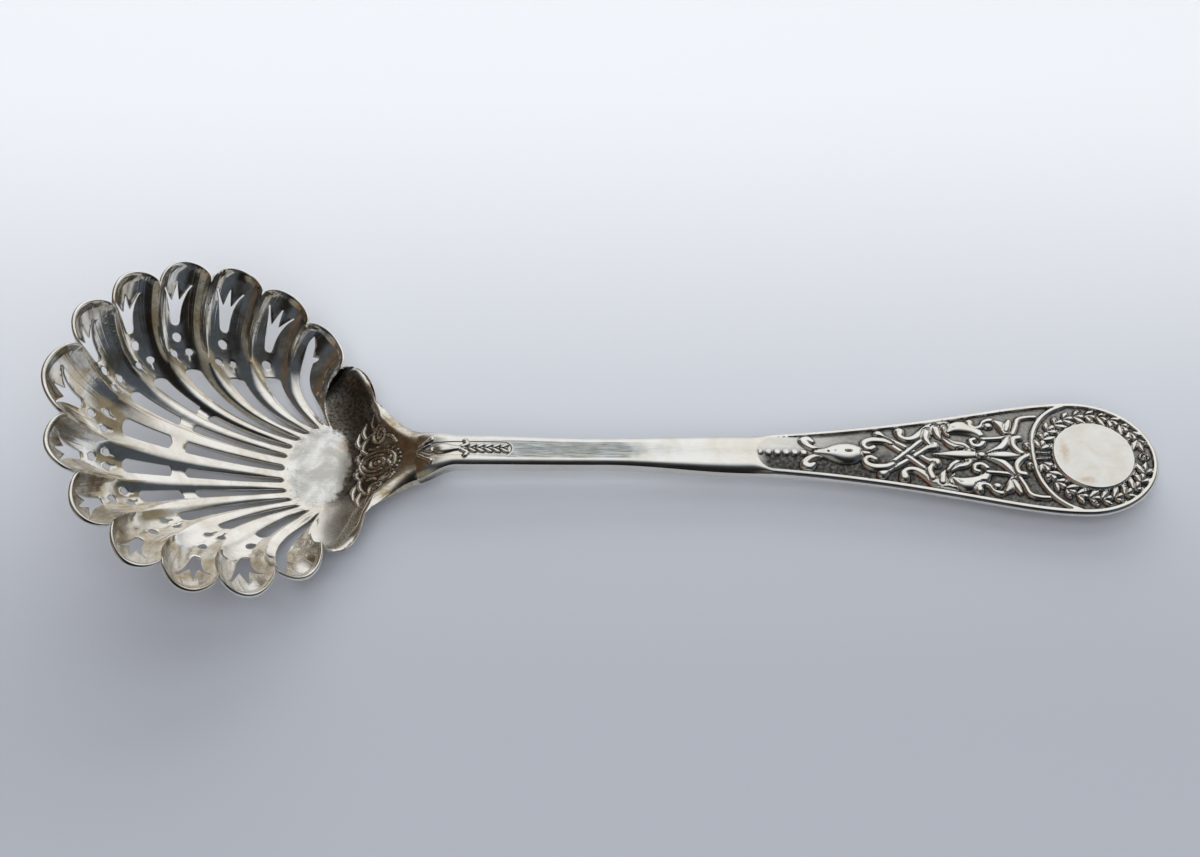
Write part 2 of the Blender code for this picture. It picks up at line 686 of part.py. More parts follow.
def panel_edge(x, end):
    """Where the flat top of a section ends: at its rounded edge, or the handle's bevel."""
    half = max(stem_half_width(x, end), END_HALF_WIDTH)
    wide = end - HEAD_LENGTH
    if x > wide:
        turn = math.asin(min((x - wide) / HEAD_LENGTH, 1.0))
        y = max((HEAD_HALF_WIDTH - BEVEL) * math.cos(turn), END_HALF_WIDTH / 2)
        return x - BEVEL * math.sin(turn), y
    handle_share = smooth((x - (end - HANDLE_LENGTH)) / HANDLE_START_HALF_WIDTH)
    rounded = (1 - STEM_FLAT) * half
    return x, half - rounded - (BEVEL - rounded) * handle_share


def stem_section(x, end):
    half = max(stem_half_width(x, end), END_HALF_WIDTH)
    flat_x, flat_y = panel_edge(x, end)
    top = stem_top(x, end)
    bottom = stem_bottom(x, end)
    handle_share = smooth((x - (end - HANDLE_LENGTH)) / HANDLE_START_HALF_WIDTH)
    edge = top - EDGE_ROUND + (EDGE_ROUND - BEVEL) * handle_share
    side = max(top - EDGE_DEPTH, bottom + 0.25 * (top - bottom))
    upper = [(x, -half, edge), (flat_x, -flat_y, top), (flat_x, flat_y, top), (x, half, edge)]
    haunch = bottom + 0.3 * (side - bottom)
    lower = [(x, half, side), (x, 0.68 * half, haunch), (x, 0.3 * half, bottom),
             (x, -0.3 * half, bottom), (x, -0.68 * half, haunch), (x, -half, side)]
    return upper + lower


def stem_stations(end):
    """Places of the sections: close together on the rounds, wide apart on the straights."""
    root, neck, waist, start, wide = stem_keys(end)
    tongue_tip = [TONGUE_TIP + (TONGUE_ROUND - TONGUE_TIP) * (1 - math.cos(k * math.pi / 10))
                  for k in range(6)]
    shoulder = root + tab_lean()
    tongue = tongue_tip + [TONGUE_ROUND + (shoulder - TONGUE_ROUND) * k / 4 for k in range(1, 5)]
    shaft = [root + (neck - root) * k / 4 for k in range(5)]
    shaft += [neck + (start - neck) * k / 10 for k in range(1, 11)]
    taper = [start + (wide - start) * (k / 18) ** 1.2 for k in range(1, 19)]
    head = [wide + HEAD_LENGTH * math.sin(k * math.pi / 24) for k in range(1, 13)]
    return tongue, shaft, taper + head


def build_stem(focus, end):
    """A loft over all the sections, whose top the struck panel replaces on the handle."""
    tongue, shaft, handle = stem_stations(end)
    sections = [tongue_section(x) for x in tongue] + [stem_section(x, end) for x in shaft + handle]
    sides = len(sections[0])

    def place(column, row):
        point = Vector(sections[column][row % sides])
        if column == len(tongue) and row % sides >= UPPER_POINTS:
            point.x += tab_lean()
        return point + focus

    bm = grid_of_points(len(sections) - 1, sides, place)
    bmesh.ops.remove_doubles(bm, verts=bm.verts, dist=WELD)
    bmesh.ops.holes_fill(bm, edges=bm.edges, sides=sides)
    stations = [shaft[-1]] + handle
    edge = [panel_edge(x, end) for x in stations]
    corners = point_finder([Vector(place) for place in edge])
    bmesh.ops.delete(bm, geom=[f for f in bm.faces if in_panel(f, corners, focus)], context="FACES")
    add_panel(bm, edge, focus, end)
    bmesh.ops.remove_doubles(bm, verts=bm.verts, dist=WELD)
    bmesh.ops.recalc_face_normals(bm, faces=bm.faces)
    return bm


def in_panel(face, corners, focus):
    """Whether all corners of a face are on the edge of the panel."""
    places = [vertex.co - focus for vertex in face.verts]
    return all(corners.find((place.x, abs(place.y), 0))[2] < WELD for place in places)


# The struck panel: outlines on the plan, and a height for every point on it.

def ground_outline(end, inset):
    """The edge of the sunk ground, an arch at its start and the handle's outline beyond."""
    start = end - HANDLE_LENGTH
    wide = end - HEAD_LENGTH
    arch = HANDLE_START_HALF_WIDTH - inset
    side = []
    for k in range(1, PANEL_FACETS):
        share = k / PANEL_FACETS
        x = start + inset + (end - start - 2 * inset) * (1 - math.cos(math.pi * share)) / 2
        if x > wide:
            round_share = (x - wide) / (HEAD_LENGTH - inset)
            y = (HEAD_HALF_WIDTH - inset) * math.sqrt(max(1 - round_share ** 2, 0.0))
        else:
            arch_share = min((x - start - inset) / arch, 1.0)
            y = (handle_half_width(x, end) - inset) * math.sqrt(1 - (1 - arch_share) ** 2)
        side.append((x, y))
    tips = [(start + inset, 0.0)], [(end - inset, 0.0)]
    return tips[0] + side + tips[1] + [(x, -y) for x, y in reversed(side)]


def panel_place(along, aside, half_width, end):
    """A relief shape's point on this panel, kept clear of the border."""
    start = end - HANDLE_LENGTH
    x = start + along * MM * HANDLE_LENGTH / RELIEF_LENGTH
    room = handle_half_width(x, end) - BORDER - GROUND_DRAFT - half_width
    y = aside * MM * HEAD_HALF_WIDTH / RELIEF_HALF_WIDTH
    return x, max(min(y, room), -room)


def arc_points(cx, radius, start, sweep, steps):
    angles = [math.radians(start + sweep * k / steps) for k in range(steps + 1)]
    return [(cx + radius * math.cos(a), radius * math.sin(a)) for a in angles]


def relief_shapes(end):
    """Every raised shape as a list of (x, y, half width) along its middle line."""
    shapes = []
    for k in range(BEADS):
        radius = BEAD_RADIUS + BEAD_GROWTH * k
        x, _ = panel_place((BEAD_START + BEAD_PITCH * k) / MM, 0, radius, end)
        shapes.append([(x - 0.1 * radius, 0.0, radius), (x + 0.1 * radius, 0.0, radius)])
    for points, half_widths in MIDDLE_SHAPES.values():
        widths = [width * MM for width in half_widths]
        shapes.append([(*panel_place(a, b, w, end), w) for (a, b), w in zip(points, widths)])
    for points, half_widths in PAIRED_SHAPES.values():
        widths = [width * MM for width in half_widths]
        for side in (1, -1):
            shapes.append([(*panel_place(a, b * side, w, end), w) for (a, b), w in zip(points, widths)])
    centre = end - MEDALLION_SETBACK
    for radius, width, start, sweep in ((WREATH_RADIUS, WREATH_HALF_WIDTH, 0, 360),
                                        (CRADLE_RADIUS, CRADLE_HALF_WIDTH, 180 - CRADLE_SWEEP, 2 * CRADLE_SWEEP)):
        steps = round(RING_FACETS * sweep / 360)
        shapes.append([(x, y, width) for x, y in arc_points(centre, radius, start, sweep, steps)])
    return shapes


def shape_outline(shape, share):
    """A loop round a shape's middle line, at a share of its half width, with round ends."""
    left, right, ends = [], [], []
    last = len(shape) - 1
    for number, (x, y, width) in enumerate(shape):
        x0, y0, _ = shape[max(number - 1, 0)]
        x1, y1, _ = shape[min(number + 1, last)]
        length = math.hypot(x1 - x0, y1 - y0)
        away = Vector(((y0 - y1) / length, (x1 - x0) / length)) * width * share
        left.append(Vector((x, y)) + away)
        right.append(Vector((x, y)) - away)
        if number in (0, last):
            forward = Vector((away.y, -away.x)) if number == last else Vector((-away.y, away.x))
            start = away if number == last else -away
            turns = [math.pi * k / END_FACETS for k in range(1, END_FACETS)]
            ends.append([Vector((x, y)) + start * math.cos(t) + forward * math.sin(t) for t in turns])
    return left + ends[1] + right[::-1] + ends[0]


def relief_height(x, y, shapes, end):
    """Height above the ground: the highest of the shapes, or the medallion's flat face."""
    if math.hypot(x - end + MEDALLION_SETBACK, y) < MEDALLION_RADIUS + WELD:
        return MEDALLION_RISE
    height = 0.0
    for shape in shapes:
        for (x0, y0, w0), (x1, y1, w1) in zip(shape, shape[1:]):
            along = Vector((x1 - x0, y1 - y0))
            share = min(max(((x - x0) * along.x + (y - y0) * along.y) / along.length_squared, 0.0), 1.0)
            distance = math.hypot(x - x0 - along.x * share, y - y0 - along.y * share)
            width = w0 + (w1 - w0) * share
            height = max(height, RELIEF_RISE * math.sqrt(max(1 - (distance / width) ** 2, 0.0)))
    return height


def add_panel(bm, edge, focus, end):
    """Triangulate the panel over its outlines and add it between the handle's borders."""
    shapes = relief_shapes(end)
    rim = [(x, -y) for x, y in edge] + edge[::-1]
    loops = [rim, ground_outline(end, BORDER), ground_outline(end, BORDER + GROUND_DRAFT)]
    centre = end - MEDALLION_SETBACK
    for radius in (MEDALLION_RADIUS, MEDALLION_RADIUS + MEDALLION_DRAFT):
        loops.append(arc_points(centre, radius, 0, 360, RING_FACETS)[:-1])
    for shape in shapes:
        loops += [shape_outline(shape, 1.0), shape_outline(shape, CREST_SHARE)]
    points = [Vector(point) for loop in loops for point in loop]
    lines = []
    for loop in loops:
        first = len(lines)
        lines += [(first + k, first + (k + 1) % len(loop)) for k in range(len(loop))]
    result = geometry.delaunay_2d_cdt(points, lines, [], INSIDE, PANEL_MERGE)
    places, faces, origins = result[0], result[2], result[3]
    raised_points = len(loops[0]) + len(loops[1])
    vertices = []
    for place, origin in zip(places, origins):
        z = stem_top(place.x, end)
        if not any(index < raised_points for index in origin):
            z += relief_height(place.x, place.y, shapes, end) - GROUND_DEPTH
        vertices.append(bm.verts.new(Vector((place.x, place.y, z)) + focus))
    for face in faces:
        bm.faces.new([vertices[index] for index in face])


# The solder that runs round the tongue under the bowl.

def tongue_outline(share):
    """Plan outline of the tongue, share from -1 at the -Y root through 0 at the tip to 1."""
    x = TONGUE_TIP + (TAB_END - TONGUE_TIP) * share ** 2
    half = max(tongue_half_width(x), TONGUE_BLUNT * abs(share))
    return x, math.copysign(half, share)


def seam_point(share, reach):
    """A point at a set distance outside the tongue's outline."""
    step = 0.02
    x, y = tongue_outline(share)
    x0, y0 = tongue_outline(share - step)
    x1, y1 = tongue_outline(share + step)
    length = math.hypot(x1 - x0, y1 - y0)
    return x - reach * (y1 - y0) / length, y + reach * (x1 - x0) / length


def build_solder(focus, collection, material):
    reach = FIT + SOLDER_RADIUS
    path = []
    for k in range(-SEAM_STEPS, SEAM_STEPS + 1):
        x, y = seam_point(k / SEAM_STEPS, reach)
        z = sheet_underside(x, y) - FIT - SOLDER_RADIUS
        path.append(Vector((x, y, z)) + focus)
    curve = bpy.data.curves.new("solder_seam", "CURVE")
    curve.dimensions = "3D"
    curve.bevel_depth = SOLDER_RADIUS
    curve.bevel_resolution = 2
    curve.use_fill_caps = True
    spline = curve.splines.new("POLY")
    spline.points.add(len(path) - 1)
    for target, point in zip(spline.points, path):
        target.co = (*point, 1.0)
    curve.materials.append(material)
    item = bpy.data.objects.new("solder_seam", curve)
    collection.objects.link(item)
    return item


def tip_reach():
    """How far the tip stands ahead of the focus, with the sheet's thickness."""
    edge = flute_point(0.0, lobe_end(0.0))
    return -(edge + outward(0.0, lobe_end(0.0)) * SHEET).x


def main():
    clear_scene()
    parts = new_collection("sugar_sifter_spoon")
    silver = metal("polished_silver", (0.86, 0.85, 0.82), 0.18)
    struck = metal("oxidised_silver", (0.72, 0.70, 0.66), 0.28)
    solder = metal("silver_solder", (0.74, 0.73, 0.68), 0.35)

    focus = Vector((tip_reach() - SPOON_LENGTH / 2, 0, 0))
    end = SPOON_LENGTH / 2 - focus.x

    bowl = add_object("bowl", build_bowl(focus), parts, silver)

    stem = add_object("stem", build_stem(focus, end), parts, struck)
    build_solder(focus, parts, solder)

    for item in (bowl, stem):
        item.data.shade_smooth()
        item.data.set_sharp_from_angle(angle=math.radians(35))


main()
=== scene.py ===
"""Looks of a sugar sifter spoon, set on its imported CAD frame.

Three pieces, each in place of one CAD node: the shell bowl raised from a pierced sheet, the
forged stem with its struck panel, and the solder fillet that joins the two. Lengths are in
millimetres until a mesh is made, and places along the spoon are measured from the bowl's focus,
the flat spot that the flutes fan out of. The main sizes repeat the part's own, and the finer work
follows the real spoon more closely.
"""

import math

import bmesh
import bpy
import numpy as np
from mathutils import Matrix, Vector, geometry, kdtree


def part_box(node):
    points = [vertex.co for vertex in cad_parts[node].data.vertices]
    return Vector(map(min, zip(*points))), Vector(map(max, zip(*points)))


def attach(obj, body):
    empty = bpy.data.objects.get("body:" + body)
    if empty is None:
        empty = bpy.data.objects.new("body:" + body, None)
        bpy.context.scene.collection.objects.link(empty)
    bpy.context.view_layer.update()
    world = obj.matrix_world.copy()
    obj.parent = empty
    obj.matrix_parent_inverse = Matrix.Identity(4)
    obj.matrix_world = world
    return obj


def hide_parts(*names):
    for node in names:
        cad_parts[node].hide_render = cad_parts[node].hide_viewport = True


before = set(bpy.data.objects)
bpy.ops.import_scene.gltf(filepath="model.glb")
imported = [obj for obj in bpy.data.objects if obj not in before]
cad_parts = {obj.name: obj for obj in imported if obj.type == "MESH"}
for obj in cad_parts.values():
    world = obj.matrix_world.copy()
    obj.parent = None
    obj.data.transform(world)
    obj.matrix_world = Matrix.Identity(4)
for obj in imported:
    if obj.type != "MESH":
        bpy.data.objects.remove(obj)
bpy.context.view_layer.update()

MM = 0.001
TINY = 1e-9

# The bowl.
SHEET = 0.9
FIT = 0.3
JOINT = 0.02                   # what the solder leaves open between the bowl's tab and the neck
RIM_HALF_LENGTH = 19.9
RIM_HALF_WIDTH = 26.2
RIM_CENTRE = -12.1
RIM_HEIGHT = 6.4
RIM_TILT = 0.51
RIM_SAG = 0.45
FLOOR_CENTRE = 2.4
FLOOR_HALF_LENGTH = 4.8
FLOOR_HALF_WIDTH = 7.6
FLOOR_FLAT = 0.15
SIDE_FLUTES = 6
TIP_FLUTE_ANGLE = 27.9
FLUTE_ANGLE = 21.2
FAN = 0.635                    # turn round the floor's oval for each degree round the rim
FLUTE_DEPTH = 2.2
LOBE_REACH = 0.075
PATTERN_FLOOR = 9.0
PATTERN_WALL = 34.0
HEEL_START = 8.2
FLARE_START = 9.6
HEEL_HALF_WIDTH = 10.6
HEEL_RISE = 0.42
EAR_DEPTH = 0.8
EAR_POWER = 1.5                # how far the ear's outline is drawn in from an oval
EAR_BULGE = 1.6                # how far the ear is pushed out and sunk, for each of its depth
EAR_SINK = 1.3
EAR_RUN = 1.3                  # how late it deepens towards its edge
HEEL_SWEEP = 1.55
TAB_END = 16.0
TAB_HALF_WIDTH = 4.4
DISH_FLAT = 4.0
DISH_RADIUS = 19.2
EAR_SHARE = 6 / 13             # of the heel's edge, the ear, and then the flare
FLARE_SHARE = 5 / 13
# Where a ridge bends on its way up, as shares: along, of the rim's half length, for the ridges that
# run forward, to the side and back; aside and in height, of its end at the rim.
BEND_FORWARD = 0.14
BEND_SIDE = 0.27
BEND_BACK = 0.37
BEND_LAST = 0.40
BEND_ASIDE = 0.465
BEND_ASIDE_BACK = 0.475
BEND_HEIGHT = 0.40
BEND_DROP_SIDE = 0.10
BEND_DROP_BACK = 0.115

# How the flutes are worked: round-backed rods between the slots, crisp ridges at the rim. A pair of
# values is where a change starts and ends, here as the reach from the floor to the rim.
ROD_DEPTH = 0.42
ROD_RISES = (0.0, 0.14)
ROD_ENDS = (0.3, 0.95)
ROD_POWER = 2.3
RIM_POWER = 0.7
TURNS_CRISP = (0.35, 0.7)
NEAR_RODS = 0.75               # depth of the rods on the near side, as a share
FLUTE_RUN = 1.8                # how late the flutes deepen, and how much later on the near side
NEAR_DELAY = 0.9
FAR_SIDE = (0, 50)             # degrees round the rim over which the near side turns into the far one
LOBE_ROLL = 0.3                # how far the edge of the lobes is rolled up, and how near to it
ROLL_WIDTH = (0.3, 0.85)
NEAR_WEAR = (82, 26, 0.5)      # where the lobes are worn back, over how many degrees, and the share
RIM_SHEET = 0.36               # what the raised wall is thinned to
THINNED = (0.1, 0.45)
RIM_LIFT = 0.4                 # how far in its rim is drawn
LIFTED = (0.55, 0.95)
RIM_ROUND = 0.16               # how far its polished edge stands out
SLOT_ROUND = 0.14
TULIP_ROUND = 0.07
TAB_EDGE = (9.0, 15.5)         # along the heel, where its rounded edge turns square, and how much
TAB_SQUARE = 0.95

# The piercings.
DOT_RADIUS = 0.74
COMMA_RADIUS = 0.56
COMMA_SPREAD = 0.18
SLOT_SHARE = 0.46
SLOT_INNER = 0.03
SLOT_END = 0.030               # reach of a slot's rounded outer end, and of its inner one
SLOT_FOOT = 0.014
TULIP_TIP = 0.985
# Each flute was pierced by eye: the share across it that its pattern is centred on, and the reach
# of its slot's end, its commas, its dot and its tulip's base.
PIERCINGS = {
    0: (0.43, 0.59, 0.67, 0.745, 0.80),
    1: (0.44, 0.59, 0.67, 0.75, 0.805), -1: (0.42, 0.57, 0.645, 0.72, 0.785),
    2: (0.50, 0.57, 0.66, 0.75, 0.81), -2: (0.46, 0.54, 0.60, 0.685, 0.76),
    3: (0.47, 0.57, 0.66, 0.74, 0.80), -3: (0.58, 0.46, 0.54, 0.66, 0.77),
    4: (0.41, 0.51, 0.60, 0.71, 0.78), -4: (0.62, 0.42, 0.51, 0.64, 0.75),
    5: (0.42, 0.51, 0.0, 0.60, 0.70), -5: (0.53, 0.36, 0.0, 0.47, 0.61),
}
# On the near flutes the tulips are wider, stop further from the rim, and sit to one side.
NEAR_TULIPS = {-3: (1.0, 0.965, 0.02), -4: (1.15, 0.955, 0.09), -5: (1.25, 0.955, 0.08)}
BRIDGE = 0.045
BRIDGE_REACH = 0.36
BRIDGE_STEP = 0.015
BRIDGED = 2
LONG_SLOT = 0.97

# Half of a tulip, as (share aside from the flute's middle, share of its height), in three
# strokes of the saw: the cup and the outside of a petal, its inside, and the middle petal.
TULIP_HALF = (
    ((0.0, 0.0), (0.055, 0.01), (0.09, 0.07), (0.105, 0.22), (0.125, 0.42), (0.16, 0.62),
     (0.21, 0.82), (0.27, 0.96)),
    ((0.235, 0.98), (0.18, 0.86), (0.12, 0.73), (0.072, 0.63)),
    ((0.072, 0.63), (0.05, 0.76), (0.032, 0.88), (0.012, 1.0)),
)
# The tail of a comma, in millimetres from the middle of its round, towards the flute's middle
# and outwards.
COMMA_TAIL = ((0.02, -0.62), (0.18, -1.25), (0.31, -1.36), (0.43, -1.22), (0.33, -0.62))
# The S-shaped slot beside an ear, as (share across the flute, reach).
LONG_SLOT_OUTLINE = (
    ((0.185, LONG_SLOT), (0.17, 0.90), (0.21, 0.78), (0.22, 0.66), (0.21, 0.54), (0.22, 0.42),
     (0.27, 0.30), (0.41, 0.18), (0.60, 0.06), (0.74, 0.045), (0.86, 0.12), (0.85, 0.25),
     (0.71, 0.38), (0.56, 0.48), (0.48, 0.59), (0.45, 0.70), (0.44, 0.77)),
    ((0.44, 0.77), (0.48, 0.805), (0.50, 0.84), (0.45, 0.848), (0.38, 0.825)),
    ((0.38, 0.825), (0.31, 0.91), (0.21, LONG_SLOT)),
)

# The stem.
TONGUE_TIP = 9.4
TONGUE_ROUND = 12.0
TONGUE_ROOT = 3.2
TONGUE_FLARE = 7.8
TONGUE_SWEEP = 2.6
TONGUE_TIP_DEPTH = 0.45
TONGUE_BLUNT = 0.2
ROOT_DEPTH = 1.6
NECK_LENGTH = 6.0
NECK_HALF_WIDTH = 2.7
NECK_TOP = 6.4
NECK_DEPTH = 3.1
WAIST_HALF_WIDTH = 2.45
WAIST_TOP = 5.9
WAIST_DEPTH = 2.9
EDGE_ROUND = 0.36
STEM_FLAT = 0.6
HANDLE_LENGTH = 60.7
HEAD_DRAWN = 0.7               # how far the head is drawn out past the CAD's
HANDLE_START_HALF_WIDTH = 3.45
HANDLE_SWELL = 2.1
HANDLE_BEND = 0.58
HEAD_LENGTH = 11.8
HEAD_HALF_WIDTH = 10.45
HEAD_SHOULDER = 10.6
HANDLE_TOP = 5.6
HEAD_TOP = 4.6
HEAD_BOTTOM = 1.2
BORDER = 0.8
BEVEL = 0.45
GROUND_DEPTH = 0.45
GROUND_DRAFT = 0.2
BACK_SQUARE = 0.5              # power that squares the underside's section, and the head's
HEAD_SQUARE = 1.0
WAIST_CROWN = 0.08             # how far the stem's top falls to its edges at its waist
CROWN = 0.55                   # at the handle's start
HEAD_CROWN = 0.34              # and at its head

# The struck relief.
RELIEF_RISE = 0.5
MOAT = 0.10                    # width of the line chased round each shape
CHASE = 0.45                   # how deep it is, as a share of the shape it cuts into
OUTLINE = 0.5                  # how far from a shape its ground is kept dark
FULLNESS = 1.35                # how much fuller the shapes are struck than they are drawn
FULL_RISE = 0.55               # half width at which a shape has its full rise
RISE_LIMITS = (0.75, 3)
BACK_ROUND = 2.1               # powers that shape a stroke's round back
BACK_EDGE = 0.6
MEDALLION_RADIUS = 6.2
MEDALLION_SETBACK = 9.7
MEDALLION_RISE = 0.65
WREATH_RADIUS = 7.55
WREATH_LEAVES = 12             # groups of leaves on each half of the wreath
WREATH_START = 172.0           # degrees
WREATH_SWEEP = 160.0
LAUREL = ((0.75, 1.8), (0.0, 2.1), (-0.75, 1.8))  # lean of each leaf of a group in radians, and length
LAUREL_HALF_WIDTHS = (0.25, 0.58, 0.15)
LAUREL_FOOT = 0.6
LAUREL_SPREAD = 1.85
LAUREL_BELLY = 0.2
BERRY_RADIUS = 0.24
BERRY_ASIDE = 0.95
ROSETTE = ((0.62, 0.2), (0.1, 0.22))
TIES = (176, 184)
TIE_REACH = 0.95
TIE_HALF_WIDTH = 0.2
BEADS = 6
BEAD_START = 1.35
BEAD_PITCH = 1.3
BEAD_RADIUS = 0.56
BEAD_GROWTH = 0.025
BEAD_RISE = 0.34

# Shapes of the panel as (along from its start, aside) points and the half width at each.
MIDDLE_SHAPES = {
    "pod": (((9.6, 0), (11.5, 0), (13.0, 0), (14.3, 0), (15.4, 0), (16.5, 0)),
            (0.35, 0.8, 1.3, 1.5, 1.2, 0.45)),
    "calyx": (((16.9, 0), (17.6, 0)), (0.42, 0.3)),
    "palmette": (((27.1, 0), (29.5, 0), (31.5, 0), (33.4, 0)), (0.12, 0.55, 0.75, 0.55)),
    "seed": (((34.2, 0), (34.45, 0)), (0.52, 0.52)),
    "bud": (((35.4, 0), (37, 0), (38.5, 0), (40.0, 0)), (0.3, 0.62, 0.6, 0.15)),
}
PAIRED_SHAPES = {
    "pod_scroll": (((11.7, 0.5), (10.2, 0.55), (9.0, 0.95), (8.2, 1.6), (7.9, 2.2), (8.5, 2.6), (9.3, 2.1)),
                   (0.3, 0.42, 0.48, 0.55, 0.6, 0.6, 0.35)),
    "strap": (((19.3, 3.6), (20.1, 3.1), (21.6, 2.2), (23.3, 1.1), (24.8, 0), (26.2, -1.05), (27.4, -1.55)),
              (0.7, 0.38, 0.36, 0.36, 0.36, 0.38, 0.75)),
    "strap_to_leaf": (((20.2, 2.2), (22.1, 0.6), (23.8, -0.9), (25.3, -2.3), (26.6, -3.5)),
                      (0.4, 0.36, 0.36, 0.38, 0.5)),
    "volute": (((21.0, 1.9), (19.9, 2.4), (18.2, 2.5), (17.1, 2.0), (16.9, 1.2), (17.6, 0.75), (18.4, 1.1)),
               (0.35, 0.5, 0.55, 0.5, 0.45, 0.45, 0.42)),
    "leaf": (((22.5, 4.2), (22.5, 3.3), (23.4, 2.8), (24.5, 3.0), (25.9, 4.0), (27.4, 5.0),
              (29.0, 5.5), (30.3, 5.3)),
             (0.72, 0.42, 0.45, 0.5, 0.65, 0.9, 1.0, 0.8)),
    "leaf_lobe": (((26.6, 4.2), (26.3, 3.0), (26.8, 1.9)), (0.55, 0.5, 0.3)),
    "leaf_lobe_mid": (((28.0, 4.9), (28.2, 3.8), (28.6, 2.9)), (0.6, 0.5, 0.12)),
    "leaf_lobe_end": (((29.4, 5.0), (29.6, 4.2), (29.9, 3.5)), (0.55, 0.42, 0.12)),
    "leaf_scroll": (((29.8, 4.4), (31.0, 5.2), (32.4, 5.2), (33.8, 4.6), (34.8, 3.5), (34.9, 2.4),
                     (34.1, 1.7), (33.2, 1.9), (33.0, 2.7), (33.6, 3.0)),
                    (0.35, 0.9, 1.0, 0.8, 0.5, 0.42, 0.4, 0.38, 0.36, 0.36)),
    "petal": (((28.9, 2.9), (29.8, 2.05), (31.3, 1.35), (33.2, 0.65)), (0.15, 0.5, 0.66, 0.45)),
    "petal_low": (((29.6, 2.9), (30.6, 2.2), (31.8, 1.9), (32.6, 1.3)), (0.12, 0.36, 0.4, 0.25)),
    "curl": (((33.3, 6.2), (33.3, 5.6), (34.1, 5.2), (35.0, 5.6), (35.5, 6.4), (36.5, 6.8), (37.3, 6.3)),
             (0.6, 0.4, 0.34, 0.36, 0.38, 0.4, 0.35)),
    "curl_ball": (((35.9, 5.6), (36.1, 5.6)), (0.52, 0.52)),
    "stalk": (((37.3, 6.4), (38.2, 5.4), (38.7, 3.8)), (0.4, 0.75, 0.4)),
    "stalk_tip": (((39.3, 6.6), (38.9, 5.6), (38.6, 4.8)), (0.35, 0.5, 0.4)),
    "corner_strap": (((39.4, 3.8), (40.1, 5.4), (40.7, 6.9), (42.0, 7.4), (43.4, 7.5)),
                     (0.35, 0.36, 0.38, 0.36, 0.34)),
    "band": (((34.9, 3.05), (36.9, 3.2), (38.9, 3.5)), (0.33, 0.33, 0.36)),
    "bud_arm": (((35.2, 0.35), (36.3, 0.75), (37.5, 1.5), (38.5, 2.8), (38.8, 3.4)),
                (0.3, 0.48, 0.55, 0.48, 0.3)),
    "bracket": (((42.3, -0.5), (41.2, 0.0), (40.1, 0.7), (39.3, 1.9), (39.5, 3.1), (40.4, 3.4)),
                (0.35, 0.4, 0.45, 0.45, 0.45, 0.45)),
    "bracket_eye": (((41.5, 1.85), (41.6, 1.85)), (0.6, 0.6)),
}
# Half of the band that holds the wreath, from the medallion's centre.
CRADLE = ((-3.2, 9.7), (-5.2, 8.7), (-7.0, 7.0), (-8.4, 4.4), (-8.9, 1.6))
CRADLE_HALF_WIDTH = 0.5
# Small hollows with a rounded end, as (along, aside, half length, half width): in the middle, and in
# pairs beside it.
MIDDLE_HOLLOWS = ((14.5, 0.0, 0.5, 0.22), (11.5, 0.0, 0.16, 0.14))
PAIRED_HOLLOWS = ((31.4, 1.15, 0.75, 0.16), (41.55, 1.85, 0.2, 0.2), (33.5, 2.4, 0.16, 0.16))
HOLLOW_DEPTH = 0.85
# The panel's ground sinks later on its far half than on its near one. The far half is painted lighter, as
# painted light, most at its start, and the near half darker, as painted shade, a little lighter only
# towards the head. The pairs are places along the panel.
FAR_HALF_SINKS = (1.0, 12.0)
NEAR_HALF_SINKS = (0.5, 3.0)
FAR_LIGHT_FADES = (8.0, 18.0)
NEAR_LIGHTENS = (15.0, 35.0)
LIT_SIDE = (-0.25, 0.3)     # across the handle, as a share of its half width
CLEAR_OF_BORDER = (0.1, 0.5)   # how far from the border the shapes fade, and where they may reach it
REACH_BORDER = (39.0, 41.0)
MEDALLION_LIP = 0.35           # width of the medallion's rounded edge, and how far it falls

# Relief on the neck, as (along from the focus, aside) points and half widths.
NECK_RISE = 0.3
NECK_SUNK = 0.1
NECK_PANEL_END = 30.2
NECK_PANEL_HALF_WIDTH = 1.35
NECK_UNDER_SHADE = 0.9                # painted shade on the neck's underside: how dark it is, and where it ends
NECK_SHADE_ENDS = (17.0, 24.0)
UMBER_RUN = 3.5                # how far the heel's brown runs on along the neck
NECK_MIDDLE = {
    "bead": (((14.7, 0), (14.9, 0)), (0.3, 0.3)),
    "bud": (((17.4, 0), (18.3, 0)), (0.3, 0.5)),
    "vase": (((18.9, 0), (19.6, 0), (20.6, 0), (21.8, 0), (23.0, 0)), (0.5, 0.9, 0.75, 0.42, 0.4)),
}
NECK_PAIRED = {
    "fleur": (((15.4, 0), (16.5, 0.8), (17.4, 1.45), (18.1, 1.95)), (0.25, 0.32, 0.32, 0.5)),
    "fleur_inner": (((16.0, 0.15), (17.0, 0.55), (17.9, 1.0)), (0.15, 0.2, 0.18)),
    "collar": (((22.7, 0.3), (23.5, 0.75), (23.2, 1.3)), (0.3, 0.36, 0.34)),
}
HUSKS = 5
HUSK_START = 24.3
HUSK_PITCH = 1.18
HUSK = ((-0.5, 0.1), (0.0, 0.4), (0.45, 0.62))
HUSK_HALF_WIDTHS = (0.2, 0.34, 0.2)
HUSK_BEAD = 0.22
HUSK_BEAD_AHEAD = 0.25
# How dark the neck's chased lines and its panel's rim are, and where along it the rim begins.
NECK_LINES_DARK = 0.75
NECK_RIM_DARK = 0.6
NECK_RIM_BEGINS = (24.0, 27.0)

